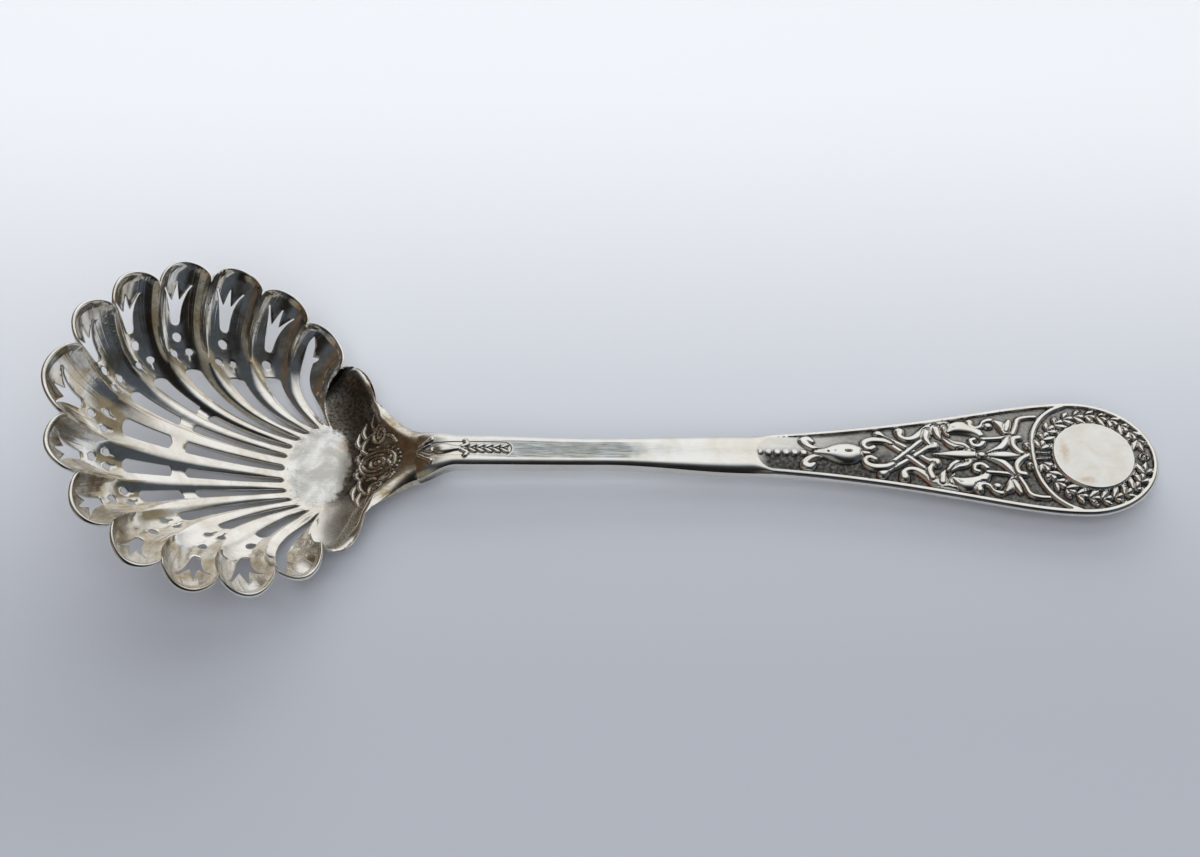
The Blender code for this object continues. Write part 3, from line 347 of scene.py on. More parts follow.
# Relief on the heel: a cartouche of strapwork with a scroll on each side.
HEEL_RELIEF = 0.24
HEEL_DISH = 1.9                # how far the heel's edge is dished up
HEEL_DISH_RUN = 5.5            # along the heel, from the tab
HEEL_FALL = 0.9                # how far its rounded outer side falls
HEEL_KEEL = 1.1                # how much thicker its edge grows towards the neck
KEEL_WIDTH = (0.3, 1.1)
HEEL_DISH_WIDTH = 4.0
HEEL_BLEND = 12                # degrees over which the heel's work starts beside the last flute
EAR_DISH = 0.47                # the ears are dished by this share, and fall by less
EAR_FALL = 0.45
DISH_GROWS = (7.5, 10.5)       # along the heel
FALL_GROWS = (6, 11)
KEEL_START = 9.0
# How the heel has tarnished, by the place along it and aside: brown on its ornament; and painted shade
# in its ears, which starts sooner in the far one and is lighter in the near one.
UMBER_ALONG = (6.6, 8.2)
UMBER_ASIDE = (7, 9)
RECESS_DARK = 0.85
RECESS_CLEARED = 0.75
EAR_SHADE_STARTS = (1.5, 3.5)
EAR_SHADE_ENDS = (9.5, 12.0)
EAR_SHADE_DARK = 0.95
FAR_EAR = (5.0, 9.0)
FAR_EAR_SOONER = 1.8
NEAR_EAR = (4.5, 8.0)
NEAR_EAR_LIGHTER = 0.5
HEEL_FINENESS = 0.75           # how much finer the shapes are chased than they are drawn
CARTOUCHE = (9.9, 0.0)
CARTOUCHE_RINGS = (((0.3, 0.22), 0.26), ((1.1, 0.85), 0.22), ((2.75, 2.2), 0.24))
CARTOUCHE_BEADS = 9
CARTOUCHE_BEAD_RING = (3.55, 2.9)
CARTOUCHE_BEAD_SWEEP = 62
CARTOUCHE_BEAD = 0.24
SCROLL_CENTRE = (10.2, 4.9)
SCROLL_RADIUS = 1.45
SCROLL_TURNS = 1.7
SCROLL_HALF_WIDTH = 0.26
SCROLL_TIGHTENS = 0.85
HEEL_PAIRED = {
    "chevron": (((7.5, 0.0), (8.2, 0.9), (9.3, 1.4), (10.5, 1.25)), (0.3, 0.3, 0.26, 0.2)),
    "eye": (((11.4, 0.0), (11.9, 0.5), (12.1, 1.1), (11.6, 1.4)), (0.26, 0.26, 0.26, 0.2)),
    "rosette": (((8.6, 2.9), (9.4, 2.7), (9.9, 3.1)), (0.3, 0.3, 0.2)),
    "arm": (((8.2, 2.0), (7.3, 3.0), (7.6, 4.4), (8.7, 5.6), (10.0, 6.3)), (0.3, 0.4, 0.4, 0.36, 0.3)),
    "leaf": (((7.1, 3.3), (6.4, 4.6), (6.7, 6.2)), (0.25, 0.45, 0.12)),
    "leaf_mid": (((7.8, 5.0), (7.2, 6.3), (7.7, 7.7)), (0.25, 0.45, 0.12)),
    "leaf_end": (((9.1, 6.2), (8.7, 7.4), (9.3, 8.4)), (0.25, 0.4, 0.12)),
    "flank": (((7.0, 0.6), (6.6, 1.5), (7.2, 2.4)), (0.3, 0.34, 0.25)),
    "spray": (((11.6, 4.3), (12.4, 3.7), (12.9, 2.8)), (0.3, 0.3, 0.12)),
}

# The floor of the bowl is worn, and stained tan in spots, as is the medallion. Each is an oval,
# as (along, aside, half length, half width), from the focus or the medallion's centre.
WORN_FLOOR = (1.0, 0.6, 4.7, 7.4)
HEEL_STAINS = ((4.4, 4.3, 1.5, 1.7),)
MEDALLION_STAINS = ((-4.3, 0.6, 0.9, 2.6), (-1.5, -4.6, 1.6, 0.7))

# The solder.
SOLDER_REACH = 0.85
SOLDER_STEPS = 90
SOLDER_CURVE = 8
SOLDER_HIDDEN = 0.35           # how far it runs in between bowl and tongue, and into the tongue's side
SOLDER_BITE = 0.05
SOLDER_SKIN = 0.02
SOLDER_DROP = 0.32
SOLDER_WAVE = 0.12
SOLDER_OXIDE = 0.35

# Fineness of the meshes.
WELD = 0.002
FLUTE_COLUMNS = 20
FLUTE_RINGS = 74
HEEL_COLUMNS = 250
HEEL_RINGS = 54
FLOOR_RINGS = 16
FREE_GAP = 0.24
EDGE_SEGMENTS = 6
EDGE_LOOKS = ("oxide_and_shade", "umber")  # what the edges of the sheet share with its upper side
SHARP = 52                      # degrees over which an edge is shaded as a sharp one
NORMAL_STEP = 0.4
SLOPE_STEP = 0.1
FLAT_POINTS = 51
OUTLINE_POINTS = 420
CIRCLE_POINTS = 240
ROUND_POINTS = 5
BACK_POINTS = 13
NECK_STEP = 0.14
HANDLE_STATIONS = 120
HEAD_STATIONS = 60
PANEL_STEP = 0.135
INSIDE = 1
INSIDE_WITH_HOLES = 2

NOTCHES = [TIP_FLUTE_ANGLE / 2 + FLUTE_ANGLE * k for k in range(SIDE_FLUTES + 1)]
LAST_NOTCH = NOTCHES[-1]
LAST_TURN = FAN * LAST_NOTCH
# Turns past the last notch over which the rim's lift and the wall's thinning end.
LIFT_ENDS = (LAST_TURN - 5, LAST_TURN + 25)
THINNING_ENDS = (LAST_TURN + 20, LAST_TURN + 55)
HEEL_ROUND = (1 - STEM_FLAT) * TAB_HALF_WIDTH

focus_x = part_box("stem")[0].x / MM - TONGUE_TIP
handle_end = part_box("stem")[1].x / MM - focus_x + HEAD_DRAWN
handle_start = handle_end - HANDLE_LENGTH
widest = handle_end - HEAD_LENGTH
medallion_x = handle_end - MEDALLION_SETBACK
stem_root = TAB_END + JOINT
neck_place = TAB_END + NECK_LENGTH
waist_place = (neck_place + handle_start) / 2


# Small tools.

def smoothstep(value, low, high):
    share = np.clip((np.asarray(value, float) - low) / (high - low), 0.0, 1.0)
    return share * share * (3 - 2 * share)


def fade(value, low, high):
    return 1 - smoothstep(value, low, high)


def mix(first, second, share):
    return first + (second - first) * share


def joined(*parts):
    """Points from their coordinates, or faces from their corners."""
    return np.stack(np.broadcast_arrays(*parts), axis=-1)


def lengths(vectors):
    return np.linalg.norm(vectors, axis=1)


def unit(vectors):
    return vectors / np.maximum(lengths(vectors), TINY)[:, None]


def bezier(start, middle, end, t):
    t = np.asarray(t)[..., None]
    return start * (1 - t) ** 2 + middle * (2 * t * (1 - t)) + end * t ** 2


def spline(points, steps):
    """A smooth curve through the points, in a number of steps for each span."""
    points = np.asarray(points, float)
    padded = np.vstack([2 * points[0] - points[1], points, 2 * points[-1] - points[-2]])
    spans = []
    for a, b, c, d in zip(padded, padded[1:], padded[2:], padded[3:]):
        t = np.linspace(0, 1, steps, endpoint=False)[:, None]
        spans.append(b + 0.5 * t * (c - a + t * (2 * a - 5 * b + 4 * c - d + t * (3 * (b - c) + d - a))))
    return np.vstack(spans + [points[-1:]])


def distances(tree_points, places):
    """Distance from each place to the nearest of the tree's points."""
    tree = kdtree.KDTree(len(tree_points))
    for index, (x, y) in enumerate(tree_points):
        tree.insert((x, y, 0), index)
    tree.balance()
    return np.array([tree.find((x, y, 0))[2] for x, y in places])


def index_loops(loops):
    """Running indices of each of several lists of points."""
    starts = np.cumsum([0] + [len(loop) for loop in loops])
    return [list(range(first, first + len(loop))) for first, loop in zip(starts, loops)]


def band_quads(rows, sides):
    """Faces between neighbouring rows of points, round all their sides."""
    corner = np.arange(rows * sides).reshape(rows, sides)
    after = np.roll(corner, -1, axis=1)
    return joined(corner[:-1], after[:-1], after[1:], corner[1:])


def make_piece(name, node, material, vertices, faces, attributes):
    """A smooth-shaded object in place of a CAD node, with a number at each point for the material."""
    mesh = bpy.data.meshes.new(name)
    mesh.from_pydata(((vertices + (focus_x, 0, 0)) * MM).tolist(), [], faces)
    for key, values in attributes.items():
        layer = mesh.attributes.new(key, "FLOAT", "POINT")
        layer.data.foreach_set("value", np.asarray(values, np.float32))
    bm = bmesh.new()
    bm.from_mesh(mesh)
    bmesh.ops.delete(bm, geom=[v for v in bm.verts if not v.link_faces], context="VERTS")
    bmesh.ops.remove_doubles(bm, verts=bm.verts, dist=WELD * MM)
    bmesh.ops.recalc_face_normals(bm, faces=bm.faces)
    bm.to_mesh(mesh)
    bm.free()
    mesh.shade_smooth()
    mesh.set_sharp_from_angle(angle=math.radians(SHARP))
    mesh.materials.append(material)
    piece = bpy.data.objects.new(name, mesh)
    bpy.context.scene.collection.objects.link(piece)
    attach(piece, "root")
    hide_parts(node)
    return piece


def stains(points, spots):
    """How stained each point is, from spots with soft edges."""
    depth = np.zeros(len(points))
    for along, aside, long, wide in spots:
        away = np.hypot((points[:, 0] - along) / long, (points[:, 1] - aside) / wide)
        depth = np.maximum(depth, fade(away, 0.3, 1.2))
    return depth


# Relief: strokes of varying half width, each raised over what is under it.

def stroke(points, half_widths, steps=7):
    return spline([(x, y, w) for (x, y), w in zip(points, half_widths)], steps)


def mirrored(line):
    return line * (1, -1, 1)


def ring(centre, radii, half_width, start=0.0, sweep=360.0, steps=48):
    turns = np.radians(start + sweep * np.linspace(0, 1, steps + 1))
    x = centre[0] + radii[0] * np.cos(turns)
    y = centre[1] + radii[1] * np.sin(turns)
    return joined(x, y, half_width)


def bead(x, y, radius):
    return np.array([(x - 0.05 * radius, y, radius), (x + 0.05 * radius, y, radius)])


def emboss(height, places, line, rise, gap):
    """Raise a round-backed stroke, chase a fine line into what lies round it, and keep how far
    each place is from the nearest outline.
    """
    margin = line[:, 2].max() + OUTLINE
    low = line[:, :2].min(axis=0) - margin
    high = line[:, :2].max(axis=0) + margin
    near = np.flatnonzero(np.all((places > low) & (places < high), axis=1))
    outside = np.full(len(near), np.inf)
    share = np.ones(len(near))
    broad = np.ones(len(near))
    for (x0, y0, w0), (x1, y1, w1) in zip(line, line[1:]):
        dx, dy = places[near, 0] - x0, places[near, 1] - y0
        ex, ey = x1 - x0, y1 - y0
        along = np.clip((dx * ex + dy * ey) / max(ex * ex + ey * ey, TINY), 0, 1)
        away = np.hypot(dx - along * ex, dy - along * ey)
        width = w0 + (w1 - w0) * along
        closer = away - width < outside
        outside = np.where(closer, away - width, outside)
        share = np.where(closer, away / width, share)
        broad = np.where(closer, width, broad)
    fullness = np.sqrt(np.clip(broad / FULL_RISE, *RISE_LIMITS))
    back = rise * fullness * np.clip(1 - share ** BACK_ROUND, 0, 1) ** BACK_EDGE
    lowered = height[near] * (1 - CHASE * fade(outside, -0.3 * MOAT, MOAT))
    height[near] = np.where(share < 1, np.maximum(back, (1 - CHASE) * height[near]), lowered)
    gap[near] = np.minimum(gap[near], np.abs(outside))


def embossed(places, lines):
    """Height of lines that are given with their rise, and the distance from the nearest outline."""
    height = np.zeros(len(places))
    gap = np.full(len(places), np.inf)
    for line, rise in lines:
        emboss(height, places, line, rise, gap)
    return height, gap


def both_sides(shapes):
    lines = [stroke(*shape) for shape in shapes.values()]
    return [each for line in lines for each in (line, mirrored(line))]


# The bowl's carrying surface, which the flutes are sunk into.

def floor_height(x, y):
    flat_end = FLOOR_CENTRE + FLOOR_FLAT * FLOOR_HALF_LENGTH
    blend = (HEEL_START - flat_end) / 2
    beyond = np.maximum(x - flat_end, 0.0)
    rise = np.where(beyond < 2 * blend, beyond ** 2 / (4 * blend), beyond - blend)
    side = np.maximum(np.abs(y) - DISH_FLAT, 0.0)
    return SHEET + HEEL_RISE * rise + side ** 2 / (2 * DISH_RADIUS)


def floor_points(turn, share=1.0):
    x = FLOOR_CENTRE - share * FLOOR_HALF_LENGTH * np.cos(np.radians(turn))
    y = share * FLOOR_HALF_WIDTH * np.sin(np.radians(turn))
    return joined(x, y, floor_height(x, y))


def rim_points(angle):
    turn = np.radians(angle)
    x = RIM_CENTRE - RIM_HALF_LENGTH * np.cos(turn)
    y = RIM_HALF_WIDTH * np.sin(turn)
    return joined(x, y, RIM_HEIGHT - RIM_TILT * x - RIM_SAG * np.sin(2 * np.abs(turn)))


def ridge_bends(angle):
    """Middle control point of the curve that a ridge follows."""
    turn = np.radians(angle)
    end = rim_points(angle)
    forward = np.maximum(np.cos(turn), 0.0) ** 3
    side = np.abs(np.sin(turn))
    back = np.maximum(-np.cos(turn), 0.0)
    shift = BEND_FORWARD * forward - BEND_SIDE * side - BEND_BACK * back + BEND_LAST * back ** 2
    height = (BEND_HEIGHT - BEND_DROP_SIDE * side ** 2 - BEND_DROP_BACK * back) * end[..., 2]
    aside = (BEND_ASIDE + BEND_ASIDE_BACK * back) * end[..., 1]
    return joined(end[..., 0] + RIM_HALF_LENGTH * shift, aside, height)


def ridge_points(angle, reach):
    return bezier(floor_points(FAN * angle), ridge_bends(angle), rim_points(angle), reach)


def heel_half_width(x):
    share = (TAB_END - x) / (TAB_END - FLARE_START)
    return mix(TAB_HALF_WIDTH, HEEL_HALF_WIDTH, np.maximum(share, 0.0) ** HEEL_SWEEP)


def heel_share(turn):
    """How far round the heel's edge a turn is, from the last notch to the middle of the tab."""
    return np.clip((np.abs(turn) - LAST_TURN) / (180 - LAST_TURN), 0, 1)


def heel_edges(share):
    """The heel's edge on the +Y side, from the last notch round the ear and in to the tab."""
    notch = rim_points(LAST_NOTCH)
    turn = np.clip(share / EAR_SHARE, 0, 1) * np.pi / 2
    ear = joined(mix(notch[0], FLARE_START, np.sin(turn) ** EAR_POWER),
                 mix(HEEL_HALF_WIDTH, notch[1], np.cos(turn) ** EAR_POWER),
                 mix(notch[2], floor_height(FLARE_START, HEEL_HALF_WIDTH), np.sin(turn)))
    x = mix(FLARE_START, TAB_END, np.clip((share - EAR_SHARE) / FLARE_SHARE, 0, 1))
    tab = np.clip((share - EAR_SHARE - FLARE_SHARE) / (1 - EAR_SHARE - FLARE_SHARE), 0, 1)
    y = np.where(tab > 0, TAB_HALF_WIDTH * (1 - tab), heel_half_width(x))
    return np.where((share <= EAR_SHARE)[..., None], ear, joined(x, y, floor_height(x, y)))


def ear_round(turn):
    """One in the middle of an ear, falling to nothing at its ends, smoothly where the flare starts."""
    share = np.clip(heel_share(turn) / EAR_SHARE, 0, 1)
    return 27 / 4 * share * (1 - share) ** 2


def heel_points(turn, reach):
    share = heel_share(turn)
    edge = heel_edges(share)
    start = floor_points(np.abs(turn))
    lifted = bezier(start, ridge_bends(LAST_NOTCH), edge, reach)
    straight = mix(start, edge, reach[..., None])
    level = floor_height(straight[..., 0], straight[..., 1])
    straight[..., 2] = level + (edge[..., 2] - floor_height(edge[..., 0], edge[..., 1])) * reach
    point = mix(lifted, straight, np.minimum(share / EAR_SHARE, 1.0)[..., None])
    hollow = EAR_DEPTH * ear_round(turn) * np.maximum(reach, 0.0) ** EAR_RUN
    side = np.where(turn < 0, -1, 1)
    return joined(point[..., 0], side * (point[..., 1] + EAR_BULGE * hollow),
                  point[..., 2] - EAR_SINK * hollow)


# The flat blank: a polar plan of the bowl, which is pierced and then raised.

def blank_points(turn, reach):
    radius = PATTERN_FLOOR + PATTERN_WALL * reach
    return joined(-radius * np.cos(np.radians(turn)), radius * np.sin(np.radians(turn)))


def turn_and_reach(places):
    radius = np.hypot(places[:, 0], places[:, 1])
    turn = np.degrees(np.arctan2(places[:, 1], -places[:, 0]))
    return turn, (radius - PATTERN_FLOOR) / PATTERN_WALL


def carrier(places):
    turn, reach = turn_and_reach(places)
    share = np.minimum(1 + reach * PATTERN_WALL / PATTERN_FLOOR, 1.0)
    fluted = (np.abs(turn) <= LAST_TURN)[:, None]
    wall = np.where(fluted, ridge_points(turn / FAN, reach), heel_points(turn, reach))
    return np.where((reach <= 0)[:, None], floor_points(turn, share), wall)


def carrier_normals(places):
    along = carrier(places + (NORMAL_STEP, 0)) - carrier(places - (NORMAL_STEP, 0))
    across = carrier(places + (0, NORMAL_STEP)) - carrier(places - (0, NORMAL_STEP))
    return unit(np.cross(along, across))


def ridge_share(angle):
    """One on a ridge, falling to nothing along the middle of a flute."""
    size = np.abs(angle)
    side = np.abs(2 * (((size - NOTCHES[0]) / FLUTE_ANGLE) % 1.0) - 1)
    return np.where(size <= NOTCHES[0], size / NOTCHES[0], side)


def flute_depths(reach, ridge, angle):
    """How deep the flutes are sunk: sooner on the far side than on the near one."""
    reach = np.maximum(reach, 0.0)
    far = smoothstep(angle, *FAR_SIDE)
    power = mix(ROD_POWER, RIM_POWER, smoothstep(reach, *TURNS_CRISP))
    rods = ROD_DEPTH * mix(NEAR_RODS, 1, far) * smoothstep(reach, *ROD_RISES) * fade(reach, *ROD_ENDS)
    flutes = FLUTE_DEPTH * reach ** (FLUTE_RUN + NEAR_DELAY * (1 - far))
    hollow = np.cos(np.clip(ridge, 0, 1) * np.pi / 2)
    return (flutes + rods) * np.maximum(hollow, 0) ** power


def heel_edge_work(turn, middle, gap):
    """How far the heel is dished up near its edge, rounded over at it, and thickened under it."""
    x = middle[:, 0]
    slope = (heel_half_width(x - SLOPE_STEP) - heel_half_width(x + SLOPE_STEP)) / (2 * SLOPE_STEP)
    aside = (heel_half_width(x) - np.abs(middle[:, 1])) / np.hypot(1, slope)
    gap = mix(gap, aside, smoothstep(x, FLARE_START - 1, FLARE_START + 1))
    start = smoothstep(np.abs(turn), LAST_TURN, LAST_TURN + HEEL_BLEND)
    dish = HEEL_DISH * np.clip((TAB_END - x) / HEEL_DISH_RUN, 0, 1) * fade(gap, 0.0, HEEL_DISH_WIDTH)
    dish *= mix(EAR_DISH, 1, smoothstep(x, *DISH_GROWS))
    fall = mix(EAR_FALL, HEEL_FALL, smoothstep(x, *FALL_GROWS)) * np.clip(1 - gap / HEEL_ROUND, 0, 1) ** 2
    keel = HEEL_KEEL * smoothstep(x, KEEL_START, TAB_END) * fade(gap, *KEEL_WIDTH)
    return start * dish, start * fall, start * keel


def heel_relief(x, y):
    """Height of the heel's ornament at places on the plan, and how far they are from its outlines."""
    lines = [line * (1, 1, HEEL_FINENESS) for line in both_sides(HEEL_PAIRED)]
    turns = np.linspace(0, 2 * np.pi * SCROLL_TURNS, 60)
    radius = SCROLL_RADIUS * (1 - SCROLL_TIGHTENS * turns / turns[-1])
    scroll = joined(SCROLL_CENTRE[0] - radius * np.sin(turns), SCROLL_CENTRE[1] + radius * np.cos(turns),
                    SCROLL_HALF_WIDTH)
    lines += [scroll, mirrored(scroll)]
    for radii, width in reversed(CARTOUCHE_RINGS):
        lines.append(ring(CARTOUCHE, radii, width))
    for turn in np.linspace(-CARTOUCHE_BEAD_SWEEP, CARTOUCHE_BEAD_SWEEP, CARTOUCHE_BEADS):
        spot = ring(CARTOUCHE, CARTOUCHE_BEAD_RING, 0, turn, 0, 1)[0]
        lines.append(bead(spot[0], spot[1], CARTOUCHE_BEAD))
    return embossed(joined(x, y), [(line, HEEL_RELIEF) for line in lines])


# The piercings: closed outlines on one flute, as (share across, reach).

def flute_angles(number, across):
    """Angles round the rim of places across one flute, counted from the one at the tip."""
    if number == 0:
        return NOTCHES[0] * (2 * across - 1)
    low = NOTCHES[abs(number) - 1]
    return math.copysign(1, number) * (low + FLUTE_ANGLE * across)


def flute_scale(number, across, reach):
    """Millimetres on the shell for each share across, and for each of reach."""
    def spot(u, r):
        return ridge_points(np.float64(flute_angles(number, u)), np.float64(r))
    wide = np.linalg.norm(spot(across + 0.01, reach) - spot(across - 0.01, reach)) / 0.02
    long = np.linalg.norm(spot(across, reach + 0.01) - spot(across, reach - 0.01)) / 0.02
    return np.array([wide, long])


def slot_outline(outer, inner, outer_round=SLOT_END, corners=10):
    half = SLOT_SHARE / 2
    turns = np.linspace(0, np.pi, corners)
    sides = np.linspace(outer - outer_round, inner + SLOT_FOOT, 24)[1:-1]
    top = joined(0.5 - half * np.cos(turns), outer - outer_round * (1 - np.sin(turns)))
    bottom = joined(0.5 + half * np.cos(turns), inner + SLOT_FOOT * (1 - np.sin(turns)))
    return np.vstack([top, joined(0.5 + half, sides), bottom, joined(0.5 - half, sides)[::-1]])


def dot_outline(number, across, reach):
    turns = np.linspace(0, 2 * np.pi, 22, endpoint=False)
    outline = DOT_RADIUS * joined(np.cos(turns), np.sin(turns))
    return (across, reach) + outline / flute_scale(number, across, reach)


def comma_outline(number, across, reach, side):
    turns = np.radians(np.linspace(-40, 250, 18))
    outline = np.vstack([COMMA_RADIUS * joined(np.cos(turns), np.sin(turns)), COMMA_TAIL]) * (-side, 1)
    return (across, reach) + outline / flute_scale(number, across, reach)


def tulip_outline(across, base, tip, spread):
    half = np.vstack([spline(points, 4) for points in TULIP_HALF])
    whole = np.vstack([half, (half * (-1, 1))[::-1]])
    whole = whole[np.append(True, lengths(np.diff(whole, axis=0)) > 1e-6)][:-1]
    return joined(across + spread * whole[:, 0], mix(base, tip, whole[:, 1]))


def long_slot_outline():
    strokes = [spline(points, 4)[:-1] for points in LONG_SLOT_OUTLINE]
    return np.vstack(strokes + [LONG_SLOT_OUTLINE[-1][-1:]])


def flute_holes(number):
    """Outline of every hole in one flute, with how far its edge is rounded."""
    place = abs(number)
    if place == SIDE_FLUTES:
        return [(long_slot_outline(), SLOT_ROUND)]
    across, outer, comma, dot, base = PIERCINGS[number]
    spread, tip, aside = NEAR_TULIPS.get(number, (1.0, TULIP_TIP, 0.0))
    holes = [(dot_outline(number, across, dot), SLOT_ROUND),
             (tulip_outline((across + 0.5) / 2 + aside, base, tip, spread), TULIP_ROUND)]
    if place <= BRIDGED:
        bridge = BRIDGE_REACH - BRIDGE_STEP * place
        holes.append((slot_outline(outer, bridge + BRIDGE / 2), SLOT_ROUND))
        holes.append((slot_outline(bridge - BRIDGE / 2, SLOT_INNER, SLOT_FOOT), SLOT_ROUND))
    else:
        holes.append((slot_outline(outer, SLOT_INNER), SLOT_ROUND))
    if place < SIDE_FLUTES - 1:
        holes += [(comma_outline(number, across + side * COMMA_SPREAD, comma, side), TULIP_ROUND)
                  for side in (-1, 1)]
    return holes


def lobe_ends(angles):
    """Reach of the lobes' edge, which is worn back a little on the side nearest the camera."""
    place, spread, share = NEAR_WEAR
    worn = 1 - share * np.exp(-((angles + place) / spread) ** 2)
    return 1 + worn * LOBE_REACH * np.sqrt(np.clip(1 - ridge_share(angles) ** 2, 0, 1))


def side_angles(shares):
    """Angles of places across each of the flutes of one side."""
    return np.concatenate([flute_angles(k, shares) for k in range(1, SIDE_FLUTES + 1)])


def rim_outline():
    shares = np.linspace(0, 1, 34, endpoint=False)
    side = np.append(side_angles(shares), LAST_NOTCH)
    angles = np.unique(np.concatenate([-side, flute_angles(0, shares), side]).round(9))
    heel = np.linspace(LAST_TURN, 360 - LAST_TURN, HEEL_COLUMNS)[1:-1]
    heel = np.where(heel > 180, heel - 360, heel)
    return np.vstack([blank_points(FAN * angles, lobe_ends(angles)),
                      blank_points(heel, 1 + LOBE_REACH * ear_round(heel))])


def free_places():
    """Points of the blank away from its outlines, in rings."""
    shares = np.linspace(0, 1, FLUTE_COLUMNS, endpoint=False)
    side = np.append(side_angles(shares), LAST_NOTCH)
    flutes = np.concatenate([-side, flute_angles(0, shares[1:]), side]) * FAN
    heel = np.linspace(LAST_TURN, 360 - LAST_TURN, HEEL_COLUMNS)[1:-1]
    grids = []
    for turns, rings in ((flutes, FLUTE_RINGS), (heel, HEEL_RINGS)):
        turn, reach = np.meshgrid(turns, np.linspace(0, 1 + LOBE_REACH, rings))
        grids.append(blank_points(turn.ravel(), reach.ravel()))
    for number in range(1, FLOOR_RINGS):
        share = number / FLOOR_RINGS
        turns = np.linspace(0, 360, max(round(160 * share), 8), endpoint=False)
        grids.append(blank_points(turns, np.zeros_like(turns)) * share)
    return np.vstack(grids + [np.zeros((1, 2))])


def boundary_loops(faces):
    """Loops of vertices along the open edges, with the material on their left."""
    directed = {(a, b) for face in faces for a, b in zip(face, face[1:] + face[:1])}
    following = {a: b for a, b in directed if (b, a) not in directed}
    loops = []
    while following:
        loop = [next(iter(following))]
        while loop[-1] in following:
            loop.append(following.pop(loop[-1]))
        loops.append(np.array(loop[:-1]))
    return loops


def pierced_blank():
    """The flat blank as points and faces, and how far the edge at each point is rounded."""
    loops, rounds = [rim_outline()], [RIM_ROUND]
    for number in range(-SIDE_FLUTES, SIDE_FLUTES + 1):
        for outline, edge_round in flute_holes(number):
            loops.append(blank_points(FAN * flute_angles(number, outline[:, 0]), outline[:, 1]))
            rounds.append(edge_round)
    fixed = np.vstack(loops)
    fixed_rounds = np.repeat(rounds, [len(loop) for loop in loops])
    free = free_places()
    free = free[distances(fixed, free) > FREE_GAP]
    points = np.vstack([fixed, free]).tolist()
    result = geometry.delaunay_2d_cdt(points, [], index_loops(loops), INSIDE_WITH_HOLES, WELD)
    rounding = np.zeros(len(result[0]))
    for index, sources in enumerate(result[3]):
        outlines = [source for source in sources if source < len(fixed)]
        if outlines:
            rounding[index] = fixed_rounds[outlines[0]]
    return np.array(result[0]), [list(face) for face in result[2]], rounding


def heel_tarnish_and_shade(middle, ornament, gap, fall, on_flute, on_heel):
    """Brown on the heel's rubbed ornament, the sulphide left in its recesses, and painted shade in its
    ears.
    """
    x, y = middle[:, 0], middle[:, 1]
    recess = fade(ornament, 0.05, 0.8 * HEEL_RELIEF)
    umber = np.where(on_flute, 0.0, smoothstep(x, *UMBER_ALONG) * fade(np.abs(y), *UMBER_ASIDE))
    oxide_and_shade = umber * recess * (RECESS_DARK - RECESS_CLEARED * smoothstep(gap, 0.05, OUTLINE))
    # Painted shade in the ears, starting sooner in the far one and lighter in the near one.
    sooner = FAR_EAR_SOONER * smoothstep(y, *FAR_EAR)
    ear_shade = smoothstep(x + sooner, *EAR_SHADE_STARTS) * fade(x, *EAR_SHADE_ENDS)
    ear_shade *= fade(fall, 0.0, 0.3) * (EAR_SHADE_DARK - NEAR_EAR_LIGHTER * smoothstep(-y, *NEAR_EAR))
    return umber, np.where(on_heel, np.maximum(oxide_and_shade, ear_shade * recess), oxide_and_shade)


def raise_sheet(places):
    """The two sides of the raised sheet, and what the silver has to know at each point of it."""
    turn, reach = turn_and_reach(places)
    size = np.abs(turn)
    on_heel = size > LAST_TURN
    on_flute = (size < LAST_TURN) & (reach > 0)
    ridge = np.where(on_flute, ridge_share(turn / FAN), 1.0)
    depth = np.where(on_flute, flute_depths(reach, ridge, turn / FAN), 0.0)
    normal = carrier_normals(places)
    middle = carrier(places)
    ornament, gap = heel_relief(middle[:, 0], middle[:, 1])
    heel_edge = heel_points(turn, 1 + LOBE_REACH * ear_round(turn))
    dish, fall, keel = heel_edge_work(turn, middle, lengths(middle - heel_edge))
    lobe_edge = ridge_points(turn / FAN, lobe_ends(turn / FAN))
    lobe_roll = LOBE_ROLL * fade(lengths(middle - lobe_edge), *ROLL_WIDTH)
    chased = np.where(on_flute | (reach <= 0) & ~on_heel, 0.0, ornament)
    relief = chased + np.where(on_heel, -fall, lobe_roll)
    lift = RIM_LIFT * smoothstep(reach, *LIFTED) * fade(size, *LIFT_ENDS) + dish
    thinned = smoothstep(reach, *THINNED) * fade(size, *THINNING_ENDS)
    upper = middle + normal * (relief + lift - depth)[:, None]
    lower = middle - normal * (mix(SHEET, RIM_SHEET, thinned) + depth - lift + keel)[:, None]

    umber, oxide_and_shade = heel_tarnish_and_shade(middle, ornament, gap, fall, on_flute, on_heel)
    x, y, long, wide = WORN_FLOOR
    worn = 1 - np.clip(np.hypot((middle[:, 0] - x) / long, (middle[:, 1] - y) / wide), 0, 2) / 2
    looks = {"ridge": np.where(on_flute, ridge, 0.0), "reach": np.where(on_flute, reach, 0.0),
             "oxide_and_shade": oxide_and_shade, "umber": umber, "worn": worn, "stain": stains(middle, HEEL_STAINS)}
    return upper, lower, looks


